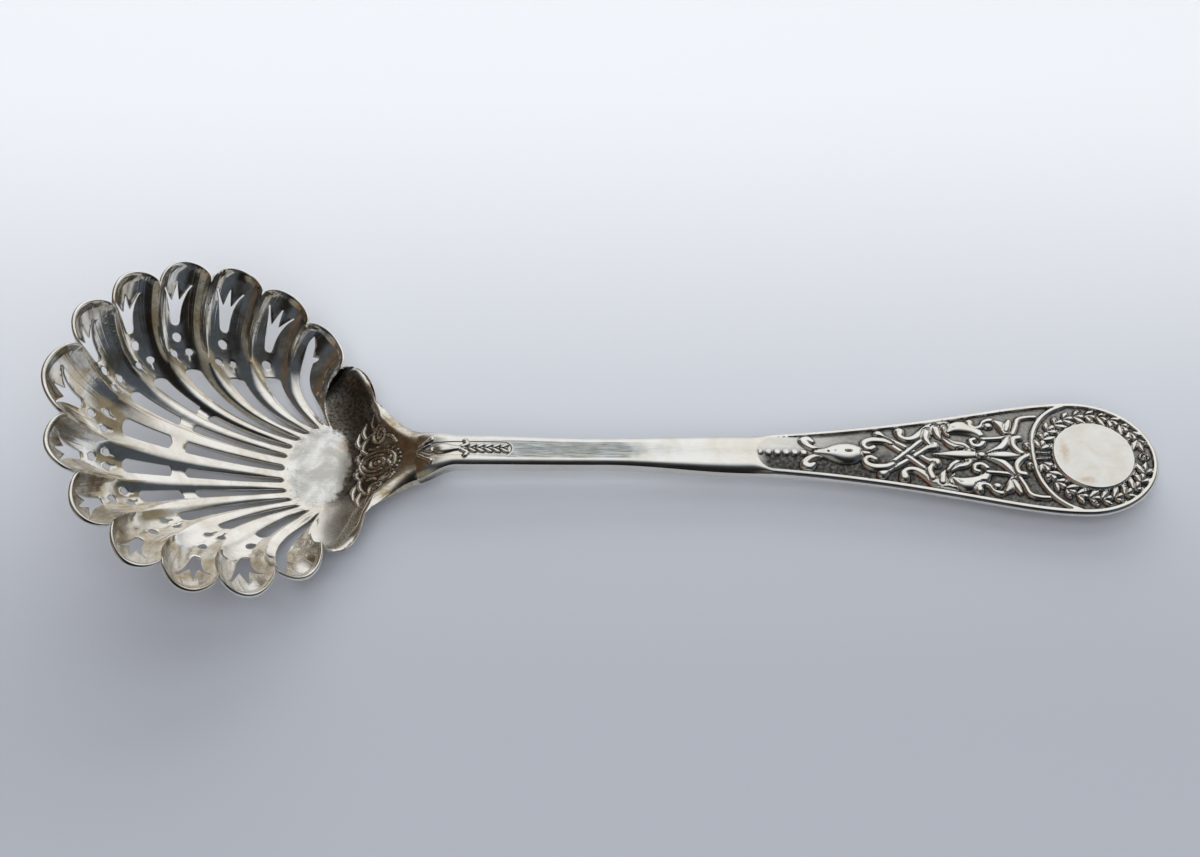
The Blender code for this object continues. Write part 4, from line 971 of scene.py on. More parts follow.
def build_bowl(material):
    places, faces, rounding = pierced_blank()
    upper, lower, looks = raise_sheet(places)
    count = len(places)
    vertices = [upper, lower]
    shares = {key: [values, 0 * values] for key, values in looks.items()}
    all_faces = faces + [[index + count for index in reversed(face)] for face in faces]
    total = 2 * count
    for loop in boundary_loops(faces):
        centre, half = (upper[loop] + lower[loop]) / 2, (upper[loop] - lower[loop]) / 2
        edge_round = rounding[loop[0]] * (1 - TAB_SQUARE * smoothstep(centre[:, 0], *TAB_EDGE))
        along = np.roll(centre, -1, axis=0) - np.roll(centre, 1, axis=0)
        away = unit(np.cross(along, half)) * edge_round[:, None]
        rows = [loop]
        for k in range(1, EDGE_SEGMENTS):
            swing = math.pi * k / EDGE_SEGMENTS
            vertices.append(centre + half * math.cos(swing) + away * math.sin(swing))
            for key, values in looks.items():
                shares[key].append(values[loop] if key in EDGE_LOOKS else 0 * values[loop])
            rows.append(np.arange(total, total + len(loop)))
            total += len(loop)
        rows.append(loop + count)
        for above, below in zip(rows, rows[1:]):
            all_faces += joined(np.roll(above, -1), above, below, np.roll(below, -1)).tolist()
    attributes = {key: np.concatenate(values) for key, values in shares.items()}
    return make_piece("pierced_bowl", "bowl", material,
                      np.vstack(vertices), all_faces, attributes)


# The stem: sections along its length, and the struck panel.

def sheet_underside(x, y):
    return floor_height(x, y) - SHEET * math.sqrt(1 + HEEL_RISE ** 2)


def tongue_half_width(x):
    share = np.clip((TONGUE_ROUND - x) / (TONGUE_ROUND - TONGUE_TIP), 0, 1)
    flare = np.clip((TAB_END - x) / (TAB_END - HEEL_START), 0, 1) ** TONGUE_SWEEP
    return (TONGUE_ROOT + TONGUE_FLARE * flare) * np.sqrt(1 - share ** 2)


def between(x, keys):
    """Smooth value at x from (x, value) keys."""
    value = np.full_like(np.asarray(x, float), keys[0][1])
    for (x0, v0), (x1, v1) in zip(keys, keys[1:]):
        value = np.where(x > x0, v0 + (v1 - v0) * smoothstep(x, x0, x1), value)
    return value


def cubic(a, b, c, d, t):
    return a * (1 - t) ** 3 + 3 * b * t * (1 - t) ** 2 + 3 * c * t * t * (1 - t) + d * t ** 3


def handle_half_width(x):
    t = np.linspace(0, 1, 2000)
    bend = handle_start + HANDLE_BEND * (widest - handle_start)
    along = cubic(handle_start, bend, widest - HEAD_SHOULDER, widest, t)
    swell = HANDLE_START_HALF_WIDTH + HANDLE_SWELL
    taper = np.interp(x, along, cubic(HANDLE_START_HALF_WIDTH, swell, HEAD_HALF_WIDTH, HEAD_HALF_WIDTH, t))
    head = HEAD_HALF_WIDTH * np.sqrt(np.clip(1 - ((x - widest) / HEAD_LENGTH) ** 2, 0, 1))
    return np.where(x >= widest, head, taper)



def stem_top(x):
    """Height of the top's middle line, which leaves the bowl at the heel's own slope."""
    share = np.clip((x - stem_root) / NECK_LENGTH, 0, 1)
    root_top = float(floor_height(TAB_END, 0))
    neck = root_top + (NECK_TOP - root_top) * share * share * (3 - 2 * share)
    neck = neck + HEEL_RISE * NECK_LENGTH * share * (1 - share) ** 2
    beyond = between(x, [(stem_root + NECK_LENGTH, NECK_TOP), (waist_place, WAIST_TOP),
                         (handle_start, HANDLE_TOP), (widest, HEAD_TOP)])
    return np.where(x < stem_root + NECK_LENGTH, neck, beyond)


def stem_bottom(x):
    root_bottom = float(sheet_underside(TAB_END, 0)) - FIT - ROOT_DEPTH
    return between(x, [(stem_root, root_bottom), (neck_place, NECK_TOP - NECK_DEPTH),
                       (waist_place, WAIST_TOP - WAIST_DEPTH), (handle_start, HANDLE_TOP - WAIST_DEPTH),
                       (widest, HEAD_BOTTOM)])


def stem_half_width(x):
    shaft = between(x, [(stem_root, TAB_HALF_WIDTH), (neck_place, NECK_HALF_WIDTH),
                        (waist_place, WAIST_HALF_WIDTH), (handle_start, HANDLE_START_HALF_WIDTH)])
    return np.where(x > handle_start, handle_half_width(x), shaft)


def crown_drop(x):
    """How far the top falls from the middle line to its edges."""
    return between(x, [(waist_place, WAIST_CROWN), (handle_start + 2.0, CROWN), (widest, HEAD_CROWN)])


def back_curve(square):
    """Shares of half width and of depth round the underside, from one edge to the middle."""
    turns = np.radians(np.linspace(0, 90, BACK_POINTS + 1))[1:]
    return np.maximum(np.cos(turns), 0) ** square, np.sin(turns) ** square


def ring_section(x, half, flat, top, drop, bottom, crown=0.0, square=BACK_SQUARE):
    """One section of the stem: its rounded edges and crowned top, then its back."""
    rounding = np.linspace(1, 0, ROUND_POINTS, endpoint=False)
    flats = np.linspace(-1, 1, FLAT_POINTS)
    corner = flat + (half - flat) * rounding
    aside = np.concatenate([-corner, flat * flats, corner[::-1]])
    rounded = np.concatenate([rounding ** 2, 0 * flats, rounding[::-1] ** 2])
    fall = drop * rounded + crown * (aside / half) ** 2
    edge = top - drop - crown
    wide, deep = back_curve(square)
    back_y = np.concatenate([half * wide, -half * wide[-2::-1]])
    back_z = edge - (edge - bottom) * np.concatenate([deep, deep[-2::-1]])
    return joined(x, np.concatenate([aside, back_y]), np.concatenate([top - fall, back_z]))


def tongue_section(x):
    share = min((x - TONGUE_TIP) / (TAB_END - TONGUE_TIP), 1.0)
    depth = TONGUE_TIP_DEPTH + (ROOT_DEPTH - TONGUE_TIP_DEPTH) * share
    half = max(float(tongue_half_width(min(x, TAB_END))), TONGUE_BLUNT)
    section = ring_section(x, half, STEM_FLAT * half, 0.0, 0.0, -depth)
    section[:, 2] += sheet_underside(x, section[:, 1]) - FIT
    return section


def shaft_section(x):
    half = float(stem_half_width(x))
    handle_share = float(smoothstep(x, handle_start, handle_start + HANDLE_START_HALF_WIDTH))
    rounded = (1 - STEM_FLAT) * half
    flat = half - rounded - (BEVEL - rounded) * handle_share
    drop = mix(EDGE_ROUND, BEVEL, handle_share)
    drop = mix(drop, HEEL_FALL, float(fade(x, stem_root, stem_root + 5.0)))
    square = mix(BACK_SQUARE, HEAD_SQUARE, float(smoothstep(x, handle_start - 5, handle_start + 20)))
    return ring_section(x, half, flat, float(stem_top(x)), drop, float(stem_bottom(x)),
                        float(crown_drop(x)), square)


def head_section(turn):
    """A section that swings round the head's centre, so that its end is as round as its sides."""
    section = ring_section(0.0, 1.0, 1 - BEVEL / HEAD_HALF_WIDTH, HEAD_TOP, BEVEL, HEAD_BOTTOM, HEAD_CROWN,
                           HEAD_SQUARE)
    aside, height = section[:, 1], section[:, 2]
    return joined(widest + HEAD_LENGTH * np.abs(aside) * math.sin(turn),
                  aside * HEAD_HALF_WIDTH * math.cos(turn), height)


def neck_lines():
    lines = [stroke(*shape) for shape in NECK_MIDDLE.values()] + both_sides(NECK_PAIRED)
    for k in range(HUSKS):
        x = HUSK_START + HUSK_PITCH * k
        husk = stroke([(x + along, aside) for along, aside in HUSK], HUSK_HALF_WIDTHS)
        lines += [husk, mirrored(husk), bead(x + HUSK_BEAD_AHEAD, 0.0, HUSK_BEAD)]
    return lines


def neck_relief(places):
    """Height of the neck's ornament, in a shallow sunk panel with an arched end, and its darkness."""
    x, y = places[:, 0], np.abs(places[:, 1])
    arch_start = NECK_PANEL_END - NECK_PANEL_HALF_WIDTH
    past = np.maximum(x - arch_start, 0.0)
    inside = NECK_PANEL_HALF_WIDTH - np.hypot(past, y)
    sunk = smoothstep(inside, 0.0, 0.25) * smoothstep(x, stem_root + 0.5, stem_root + 2.0)
    height, gap = embossed(places, [(line, NECK_RISE) for line in neck_lines()])
    oxide_and_shade = NECK_LINES_DARK * fade(gap, 0.02, 0.22) * fade(height, 0.05, 0.2)
    rim = NECK_RIM_DARK * fade(np.abs(inside - 0.1), 0.0, 0.14) * smoothstep(x, *NECK_RIM_BEGINS)
    return height - NECK_SUNK * sunk, np.maximum(oxide_and_shade, rim)


def ground_half_width(x, inset):
    """Half width of the sunk ground: an arch at its start and the handle's outline beyond."""
    arch = HANDLE_START_HALF_WIDTH - inset
    arch_share = np.clip((x - handle_start - inset) / arch, 0, 1)
    taper = (handle_half_width(np.minimum(x, widest)) - inset) * np.sqrt(1 - (1 - arch_share) ** 2)
    round_share = np.clip((x - widest) / (HEAD_LENGTH - inset), 0, 1)
    head = (HEAD_HALF_WIDTH - inset) * np.sqrt(1 - round_share ** 2)
    return np.where(x > widest, head, taper)


def ground_outline(inset):
    share = (1 - np.cos(np.linspace(0, np.pi, OUTLINE_POINTS))) / 2
    x = handle_start + inset + (HANDLE_LENGTH - 2 * inset) * share
    side = joined(x, ground_half_width(x, inset))
    return np.vstack([side, (side * (1, -1))[-2:0:-1]])


def wreath_lines():
    """Laurel: groups of three leaves with a berry, from the tie round to the rosette."""
    lines = []
    for k in range(WREATH_LEAVES):
        centre = np.radians(WREATH_START - WREATH_SWEEP * (k + 0.5) / WREATH_LEAVES)
        out = np.array([math.cos(centre), math.sin(centre)])
        ahead = np.array([math.sin(centre), -math.cos(centre)])
        foot = WREATH_RADIUS * out - LAUREL_FOOT * ahead
        for lean, length in LAUREL:
            tip = foot + length * ahead * math.cos(lean) + LAUREL_SPREAD * out * math.sin(lean)
            belly = (foot + tip) / 2 + LAUREL_BELLY * out * math.sin(lean)
            lines.append(stroke((foot, belly, tip), LAUREL_HALF_WIDTHS, 4))
        spot = foot + ahead + BERRY_ASIDE * out * (1 if k % 2 else -1)
        lines.append(bead(spot[0], spot[1], BERRY_RADIUS))
    lines += [mirrored(line) for line in lines]
    for radius, width in ROSETTE:
        lines.append(ring((WREATH_RADIUS, 0), (radius, radius), width, steps=16))
    for turn in TIES:
        radii = (WREATH_RADIUS - TIE_REACH, WREATH_RADIUS + TIE_REACH)
        ends = [ring((0, 0), (radius, radius), TIE_HALF_WIDTH, turn, 0, 1)[0] for radius in radii]
        lines.append(np.array(ends))
    return lines


def panel_lines():
    """Lines of the whole panel, each with its rise, in the order in which they are struck."""
    beads = [bead(BEAD_START + BEAD_PITCH * k, 0.0, BEAD_RADIUS + BEAD_GROWTH * k) for k in range(BEADS)]
    lines = both_sides(PAIRED_SHAPES) + [stroke(*shape) for shape in MIDDLE_SHAPES.values()]
    lines = [line * (1, 1, FULLNESS) for line in lines]
    centre = np.array([HANDLE_LENGTH - MEDALLION_SETBACK, 0, 0])
    cradle = CRADLE + tuple((x, -y) for x, y in reversed(CRADLE))
    lines.append(stroke(cradle, [CRADLE_HALF_WIDTH] * len(cradle)) + centre)
    lines += [line + centre for line in wreath_lines()]
    return [(line, BEAD_RISE) for line in beads] + [(line, RELIEF_RISE) for line in lines]


def panel_side(places):
    """How far aside places on the handle are, as a share of its half width."""
    return places[:, 1] / np.maximum(handle_half_width(np.minimum(places[:, 0], widest)), 0.1)


def panel_crown(places):
    x, y = places[:, 0], places[:, 1]
    on_head = np.hypot((x - widest) / HEAD_LENGTH, y / HEAD_HALF_WIDTH)
    return crown_drop(x) * np.where(x < widest, np.abs(panel_side(places)), on_head) ** 2


def panel_relief(places):
    """Height of the panel over its ground, how dark it is with sulphide and painted shade, and where it is
    satin.
    """
    local = places - (handle_start, 0)
    x, y = local[:, 0], local[:, 1]
    height, gap = embossed(local, panel_lines())
    pairs = [(along, side * aside, *size) for along, aside, *size in PAIRED_HOLLOWS for side in (1, -1)]
    for along, aside, long, wide in (*MIDDLE_HOLLOWS, *pairs):
        hollow = 1 - np.hypot((x - along) / long, (y - aside) / wide)
        height *= 1 - HOLLOW_DEPTH * smoothstep(hollow, -0.15, 0.4)
    edge = ground_outline(BORDER)
    side = edge[:OUTLINE_POINTS]
    inside = np.abs(y) < np.interp(places[:, 0], side[:, 0], side[:, 1], left=-1, right=-1)
    away = distances(edge, places)
    away = np.where(inside, away, -away)
    height *= np.maximum(smoothstep(away, *CLEAR_OF_BORDER), smoothstep(x, *REACH_BORDER))
    radius = np.hypot(x - HANDLE_LENGTH + MEDALLION_SETBACK, y)
    lip = smoothstep(radius, MEDALLION_RADIUS - MEDALLION_LIP, MEDALLION_RADIUS)
    face = MEDALLION_RISE - MEDALLION_LIP * lip ** 2
    height = np.where(radius < MEDALLION_RADIUS, face, height)

    # Painted light and shade: rubbed only marks the far half, whose ground is painted lighter, most near
    # the panel's start; the near half is painted darker. The ground also sinks later on the far half.
    rubbed = smoothstep(panel_side(places), *LIT_SIDE)
    sunk = rubbed * smoothstep(x, *FAR_HALF_SINKS) + (1 - rubbed) * smoothstep(x, *NEAR_HALF_SINKS)
    lightened = 0.2 * rubbed + (1 - rubbed) * (0.02 + 0.06 * smoothstep(x, *NEAR_LIGHTENS))
    oxide_and_shade = fade(height, 0.08, 0.4) * (1 - lightened * smoothstep(gap, 0.05, OUTLINE))
    oxide_and_shade *= (1 - rubbed * (0.12 + 0.4 * fade(x, *FAR_LIGHT_FADES))) * (0.3 + 0.7 * sunk)
    oxide_and_shade *= smoothstep(away, -0.05, GROUND_DRAFT)
    satin = fade(radius, MEDALLION_RADIUS - 0.5, MEDALLION_RADIUS - 0.2)
    ground = GROUND_DEPTH * (1 - sunk)
    wall = GROUND_DEPTH * fade(away, 0.0, GROUND_DRAFT)
    raised = np.maximum(np.maximum(height, ground + 0.5 * height), wall)
    return np.where(inside, raised, GROUND_DEPTH), oxide_and_shade, satin


def panel_grid():
    """Points over the panel in staggered rows."""
    rows = np.arange(handle_start, handle_end, PANEL_STEP * math.sqrt(3) / 2)
    aside = np.arange(-HEAD_HALF_WIDTH, HEAD_HALF_WIDTH, PANEL_STEP)
    x, y = np.meshgrid(rows, aside, indexing="ij")
    y = y + (np.arange(len(rows)) % 2)[:, None] * PANEL_STEP / 2
    places = joined(x.ravel(), y.ravel())
    room = handle_half_width(places[:, 0]) - BEVEL - 0.5 * PANEL_STEP
    return places[np.abs(places[:, 1]) < room]


def stem_stations():
    tongue = TONGUE_TIP + (TONGUE_ROUND - TONGUE_TIP) * (1 - np.cos(np.linspace(0, np.pi / 2, 11)))
    lean = SHEET * HEEL_RISE / math.sqrt(1 + HEEL_RISE ** 2)
    tongue = np.append(tongue, np.linspace(TONGUE_ROUND, stem_root + lean, 9)[1:])
    neck_end = NECK_PANEL_END + 0.8
    neck = np.linspace(stem_root, neck_end, round((neck_end - stem_root) / NECK_STEP))
    shaft = np.append(neck, np.linspace(neck_end, handle_start, 50)[1:])
    taper = np.linspace(handle_start, widest, HANDLE_STATIONS)[1:]
    return tongue, shaft, taper, np.linspace(0, np.pi / 2, HEAD_STATIONS)[1:], lean


def stem_loft():
    """Sections of the whole stem, how dark their points are with sulphide and painted shade, and the number
    of the handle's first.
    """
    tongue, shaft, taper, head, lean = stem_stations()
    sections = [tongue_section(x) for x in tongue]
    sections += [shaft_section(x) for x in np.append(shaft, taper)]
    sections += [head_section(turn) for turn in head]
    top_points = 2 * ROUND_POINTS + FLAT_POINTS
    sections[len(tongue)][top_points:, 0] += lean
    loft = np.array(sections)
    end = len(tongue) + len(shaft)
    neck = (slice(len(tongue), end), slice(0, top_points))
    under = (slice(len(tongue), end), slice(top_points, None))
    relief, neck_oxide = neck_relief(loft[neck][..., :2].reshape(-1, 2))
    loft[neck][..., 2] += relief.reshape(len(shaft), top_points)
    oxide_and_shade = np.zeros(loft.shape[:2])
    oxide_and_shade[neck] = neck_oxide.reshape(len(shaft), top_points)
    # Painted shade under the neck, fading out along it.
    oxide_and_shade[under] = NECK_UNDER_SHADE * fade(loft[under][..., 0], *NECK_SHADE_ENDS)
    return loft, oxide_and_shade, end - 1


def struck_panel(flat, corners):
    """The handle's top as points and faces inside the loft's open edge, its darkening by sulphide and
    painted shade, and its satin.
    """
    loops = [flat[corners, :2], ground_outline(BORDER), ground_outline(BORDER + GROUND_DRAFT)]
    for radius in (MEDALLION_RADIUS - 0.02, MEDALLION_RADIUS + 0.1):
        loops.append(ring((medallion_x, 0), (radius, radius), 0, steps=CIRCLE_POINTS)[:-1, :2])
    fixed = np.vstack(loops)
    grid = panel_grid()
    grid = grid[distances(fixed, grid) > 0.6 * PANEL_STEP]
    lines = [pair for loop in index_loops(loops) for pair in zip(loop, loop[1:] + loop[:1])]
    result = geometry.delaunay_2d_cdt(np.vstack([fixed, grid]).tolist(), lines, [], INSIDE, WELD)
    places = np.array(result[0])
    relief, oxide_and_shade, satin = panel_relief(places)
    x, y = places[:, 0], places[:, 1]
    panel = joined(x, y, stem_top(x) - GROUND_DEPTH + relief - panel_crown(places))
    for index, sources in enumerate(result[3]):
        on_edge = [source for source in sources if source < len(corners)]
        if on_edge:
            panel[index] = flat[corners[on_edge[0]]]
    return panel, [[index + len(flat) for index in face] for face in result[2]], oxide_and_shade, satin


def build_stem(material):
    loft, shaft_oxide_and_shade, first = stem_loft()
    stations, sides = loft.shape[:2]
    left, right = ROUND_POINTS, ROUND_POINTS + FLAT_POINTS - 1
    kept = np.ones((stations - 1, sides), bool)
    kept[first:, left:right] = False
    faces = band_quads(stations, sides)[kept].tolist() + [list(range(sides))]

    start = [first * sides + side for side in range(left, right + 1)]
    far = [row * sides + right for row in range(first + 1, stations)]
    near = [row * sides + left for row in range(stations - 2, first, -1)]
    flat = loft.reshape(-1, 3)
    panel, panel_faces, panel_oxide_and_shade, satin = struck_panel(flat, start + far + near)
    points = np.vstack([flat, panel])
    attributes = {"oxide_and_shade": np.concatenate([shaft_oxide_and_shade.ravel(), panel_oxide_and_shade]),
                  "umber": fade(points[:, 0], stem_root, stem_root + UMBER_RUN),
                  "satin": np.concatenate([np.zeros(len(flat)), satin]),
                  "stain": stains(points - (medallion_x, 0, 0), MEDALLION_STAINS)}
    return make_piece("struck_stem", "stem", material, points, faces + panel_faces,
                      attributes)


# The solder: a hollow fillet under the bowl, round the stem's tongue.

def tongue_outline(share):
    x = TONGUE_TIP + (TAB_END - TONGUE_TIP) * share ** 2
    half = np.maximum(tongue_half_width(x), TONGUE_BLUNT * np.abs(share))
    return joined(x, np.sign(share) * half)


def build_solder(material):
    share = np.linspace(-1, 1, SOLDER_STEPS)
    foot = tongue_outline(share)
    along = tongue_outline(share + 0.01) - tongue_outline(share - 0.01)
    away = unit(joined(-along[:, 1], along[:, 0]))
    turns = np.linspace(0, np.pi / 2, SOLDER_CURVE)
    reaches = np.append(-SOLDER_HIDDEN, SOLDER_REACH * (1 - np.sin(turns)))
    drops = np.append(0.0, SOLDER_SKIN + (FIT + SOLDER_DROP) * (1 - np.cos(turns)))
    reaches[-1] = -SOLDER_BITE
    rows = []
    for reach, drop in zip(reaches, drops):
        x, y = (foot + away * reach).T
        wave = 1 + SOLDER_WAVE * np.sin(9 * share + 3 * reach)
        rows.append(joined(x, y, sheet_underside(x, y) - drop * wave))
    grid = np.stack(rows, axis=1)
    steps, sides = grid.shape[:2]
    faces = band_quads(steps, sides).reshape(-1, 4).tolist()
    faces += [list(range(sides)), list(range((steps - 1) * sides, steps * sides))]
    return make_piece("solder_fillet", "solder_seam", material, grid.reshape(-1, 3), faces,
                      {"oxide_and_shade": np.full(steps * sides, SOLDER_OXIDE)})


# Materials. Sizes of their patterns are in millimetres.

PATCHES = 4.5
MOTTLE = 1.3
SPECKS = 0.45
STIPPLE = 0.62
HAIRS = (3.0, 0.12, 0.3)       # polishing scratches, drawn wider apart than real ones so that they show
HAIR_TURN = 0.35
VEINS = 30.0                   # waves from the middle of a flute to its ridge, in radians
UMBER = "#b3a283"
WORN_WHITE = "#eeeee9"
WORN_GREY = "#c6c4bd"
TAN = "#c9a67c"
# The floor paper's two colours: greyer near the camera and paler far off, as a painted fall-off of the
# light.
PAPER_SHADED_GREY = "#b3b7bf"
PAPER_LIT_WHITE = "#f5f8fb"


def linear(code):
    """A colour given as an sRGB hex value, as Blender's linear one."""
    levels = [int(code[k:k + 2], 16) / 255 for k in (1, 3, 5)]
    return (*[v / 12.92 if v <= 0.04045 else ((v + 0.055) / 1.055) ** 2.4 for v in levels], 1.0)


def add_node(tree, kind, inputs=None, **settings):
    """A node with its settings, and each input given as a value or as a link from a socket."""
    node = tree.nodes.new(kind)
    for name, value in settings.items():
        setattr(node, name, value)
    for socket, value in (inputs or {}).items():
        if isinstance(value, bpy.types.NodeSocket):
            tree.links.new(value, node.inputs[socket])
        else:
            node.inputs[socket].default_value = value
    return node


def per_mm(size):
    """Texture scale for a pattern of this size in millimetres."""
    return 1 / (size * MM)


def calculate(tree, operation, *values, **settings):
    """What comes of values or sockets in one operation."""
    inputs = dict(enumerate(values))
    return add_node(tree, "ShaderNodeMath", inputs, operation=operation, **settings).outputs[0]


def remap(tree, value, low, high, bottom=0.0, top=1.0, **settings):
    """A value moved from one range to another and kept inside it."""
    inputs = {"Value": value, "From Min": low, "From Max": high, "To Min": bottom, "To Max": top}
    return add_node(tree, "ShaderNodeMapRange", inputs, **settings).outputs[0]


def blend(tree, share, first, second):
    """A colour between two, each a hex value or a socket."""
    pair = [linear(colour) if isinstance(colour, str) else colour for colour in (first, second)]
    return add_node(tree, "ShaderNodeMix", {0: share, 6: pair[0], 7: pair[1]}, data_type="RGBA").outputs[2]


def noise(tree, place, size, **inputs):
    """Clouds of this size in millimetres."""
    inputs = {"Vector": place, "Scale": per_mm(size), **inputs}
    return add_node(tree, "ShaderNodeTexNoise", inputs).outputs["Fac"]


def bump(tree, height, strength, depth, normal=None, **settings):
    """Unevenness of this depth in millimetres, on top of what the normal holds already."""
    inputs = {"Height": height, "Strength": strength, "Distance": depth * MM}
    if normal is not None:
        inputs["Normal"] = normal
    return add_node(tree, "ShaderNodeBump", inputs, **settings).outputs[0]


def silver(name, bright, warm, dark, roughness, dent):
    """Sterling silver: hammered or struck, buffed by hand, and darkened by sulphide where no cloth
    reaches. Bright metal shows on the crests, warm tarnish in patches, brown on the rubbed
    ornament of the heel, and near black in the recesses. The same darkening carries painted shade
    under the neck, in the ears of the heel and on the near half of the handle's panel.
    """
    material = bpy.data.materials.new(name)
    material.use_nodes = True
    tree = material.node_tree
    shader = tree.nodes["Principled BSDF"]
    place = add_node(tree, "ShaderNodeTexCoord").outputs["Object"]
    oxide_and_shade, umber, satin, worn, spot, ridge, reach = [
        add_node(tree, "ShaderNodeAttribute", attribute_name=key).outputs["Fac"]
        for key in ("oxide_and_shade", "umber", "satin", "worn", "stain", "ridge", "reach")]

    # Tarnish comes in soft patches a few millimetres wide, heaviest by the rim.
    patches = noise(tree, place, PATCHES, Detail=5.0, Roughness=0.62, Distortion=0.6)
    heavy = remap(tree, reach, 0.45, 0.8, 0.35, 0.95)
    aged = calculate(tree, "MULTIPLY", remap(tree, patches, 0.40, 0.66), heavy)
    tint = blend(tree, aged, bright, warm)
    mottle = noise(tree, place, MOTTLE, Detail=6.0, Roughness=0.7)
    brown = calculate(tree, "MULTIPLY", umber, remap(tree, mottle, 0.3, 0.62))
    rubbed = blend(tree, brown, tint, UMBER)

    # The floor of the bowl is worn to a matt white with a ragged edge, and stained tan in spots.
    ragged = calculate(tree, "MULTIPLY_ADD", mottle, 0.35, worn)
    whitened = remap(tree, ragged, 0.66, 0.72)
    clouded = blend(tree, remap(tree, patches, 0.42, 0.6), WORN_WHITE, WORN_GREY)
    white = blend(tree, whitened, rubbed, clouded)
    smear = remap(tree, mottle, 0.38, 0.55, 0.0, 0.5)
    toned = blend(tree, calculate(tree, "MULTIPLY", spot, smear), white, TAN)

    # Veins chased beside the tulips, following the ridges, and a stipple punched along the ridges.
    near_rim = remap(tree, reach, 0.70, 0.82)
    phase = calculate(tree, "MULTIPLY_ADD", ridge, VEINS, reach)
    vein = remap(tree, calculate(tree, "SINE", phase), 0.45, 0.98)
    veined = calculate(tree, "MULTIPLY", near_rim, remap(tree, ridge, 0.30, 0.45))
    pits = add_node(tree, "ShaderNodeTexVoronoi", {"Vector": place, "Scale": per_mm(STIPPLE)})
    pit = remap(tree, pits.outputs["Distance"], 0.15, 0.4, 1.0, 0.0)
    stippled = calculate(tree, "MULTIPLY", near_rim, remap(tree, ridge, 0.60, 0.86))
    marks = calculate(tree, "MAXIMUM", calculate(tree, "MULTIPLY", vein, veined),
                      calculate(tree, "MULTIPLY", pit, stippled))

    # Sulphide stays in the recesses and the marks, finely specked, together with the painted shade. The
    # worn floor is clear of both.
    specks = noise(tree, place, SPECKS, Detail=4.0)
    speck = remap(tree, specks, 0.3, 0.7, 0.85, 1.08)
    left_dark = calculate(tree, "MULTIPLY", oxide_and_shade, calculate(tree, "SUBTRACT", 1.0, whitened))
    sunk = calculate(tree, "MULTIPLY_ADD", marks, 0.14, left_dark)
    depth = calculate(tree, "MULTIPLY", sunk, speck, use_clamp=True)
    tree.links.new(blend(tree, depth, toned, dark), shader.inputs["Base Color"])
    shader.inputs["Metallic"].default_value = 1.0

    # Hairline scratches lie at a slant along the spoon. Sulphide, satin, the rim and the worn floor
    # are duller than the rest.
    scale = tuple(per_mm(size) for size in HAIRS)
    turned = {"Vector": place, "Scale": scale, "Rotation": (0.0, 0.0, HAIR_TURN)}
    stretched = add_node(tree, "ShaderNodeMapping", turned).outputs[0]
    fine = {"Vector": stretched, "Scale": 1.0, "Detail": 3.0}
    hairs = add_node(tree, "ShaderNodeTexNoise", fine).outputs["Fac"]
    dull = remap(tree, hairs, 0.35, 0.7, roughness - 0.04, roughness + 0.08)
    for share, more in ((depth, 0.28), (satin, 0.24), (near_rim, 0.05), (whitened, 0.14)):
        dull = calculate(tree, "MULTIPLY_ADD", share, more, dull)
    tree.links.new(dull, shader.inputs["Roughness"])

    # Planishing leaves the sheet very slightly uneven, which makes its reflections wander. On it lie
    # the scratches, the chased marks and the grain of the sulphide.
    normal = bump(tree, noise(tree, place, dent, Detail=2.0), 0.35, 0.12)
    normal = bump(tree, hairs, 0.12, 0.02, normal)
    normal = bump(tree, marks, 0.35, 0.05, normal, invert=True)
    normal = bump(tree, calculate(tree, "MULTIPLY", specks, depth), 0.15, 0.06, normal)
    tree.links.new(normal, shader.inputs["Normal"])
    return material


def paper_with_painted_falloff():
    """The plain floor: matt background paper, painted paler towards its far side and greyer towards the
    camera, as a painted fall-off of the light.
    """
    material = bpy.data.materials.new("paper_with_painted_falloff")
    material.use_nodes = True
    tree = material.node_tree
    place = add_node(tree, "ShaderNodeTexCoord").outputs["Object"]
    along = add_node(tree, "ShaderNodeSeparateXYZ", {0: place}).outputs["Y"]
    share = remap(tree, along, FALLOFF_NEAR * MM, FALLOFF_FAR * MM, interpolation_type="SMOOTHSTEP")
    shader = tree.nodes["Principled BSDF"]
    tree.links.new(blend(tree, share, PAPER_SHADED_GREY, PAPER_LIT_WHITE), shader.inputs["Base Color"])
    shader.inputs["Roughness"].default_value = 0.9
    shader.inputs["Specular IOR Level"].default_value = 0.2
    return material


# Floor, light and camera.

FLOOR_SIZE = 3.0
FALLOFF_NEAR = -45.0             # where the paper's painted fall-off of light starts and ends along Y
FALLOFF_FAR = 95.0
# The room that the silver mirrors: soft areas, each with its direction, how much it is narrowed
# along X, the degrees from its middle at which it starts to fade and is gone, and its colour.
ROOM = "#4a5058"
AREAS = (
    ((0.0, -1.0, 0.15), 1.0, 30, 95, "#4a515b"),
    ((0.10, -0.65, 0.75), 1.0, 14, 36, "#1f1d1c"),
    ((-0.50, -0.62, 0.60), 1.0, 10, 32, "#8a887f"),
    ((0.12, 0.74, 0.66), 1.3, 28, 58, "#fcfdff"),
    ((-0.80, 0.40, 0.45), 1.0, 18, 46, "#5f5144"),
    ((0.015, 0.616, 0.788), 4.2, 6, 10, "#6f7d86"),
    ((-0.80, -0.40, 0.40), 1.0, 6, 18, "#a0705c"),
    ((0.80, 0.54, 0.26), 1.0, 6, 20, "#8b8471"),
)
HORIZON = "#d5dae0"
HORIZON_FADE = (0.04, 0.12)
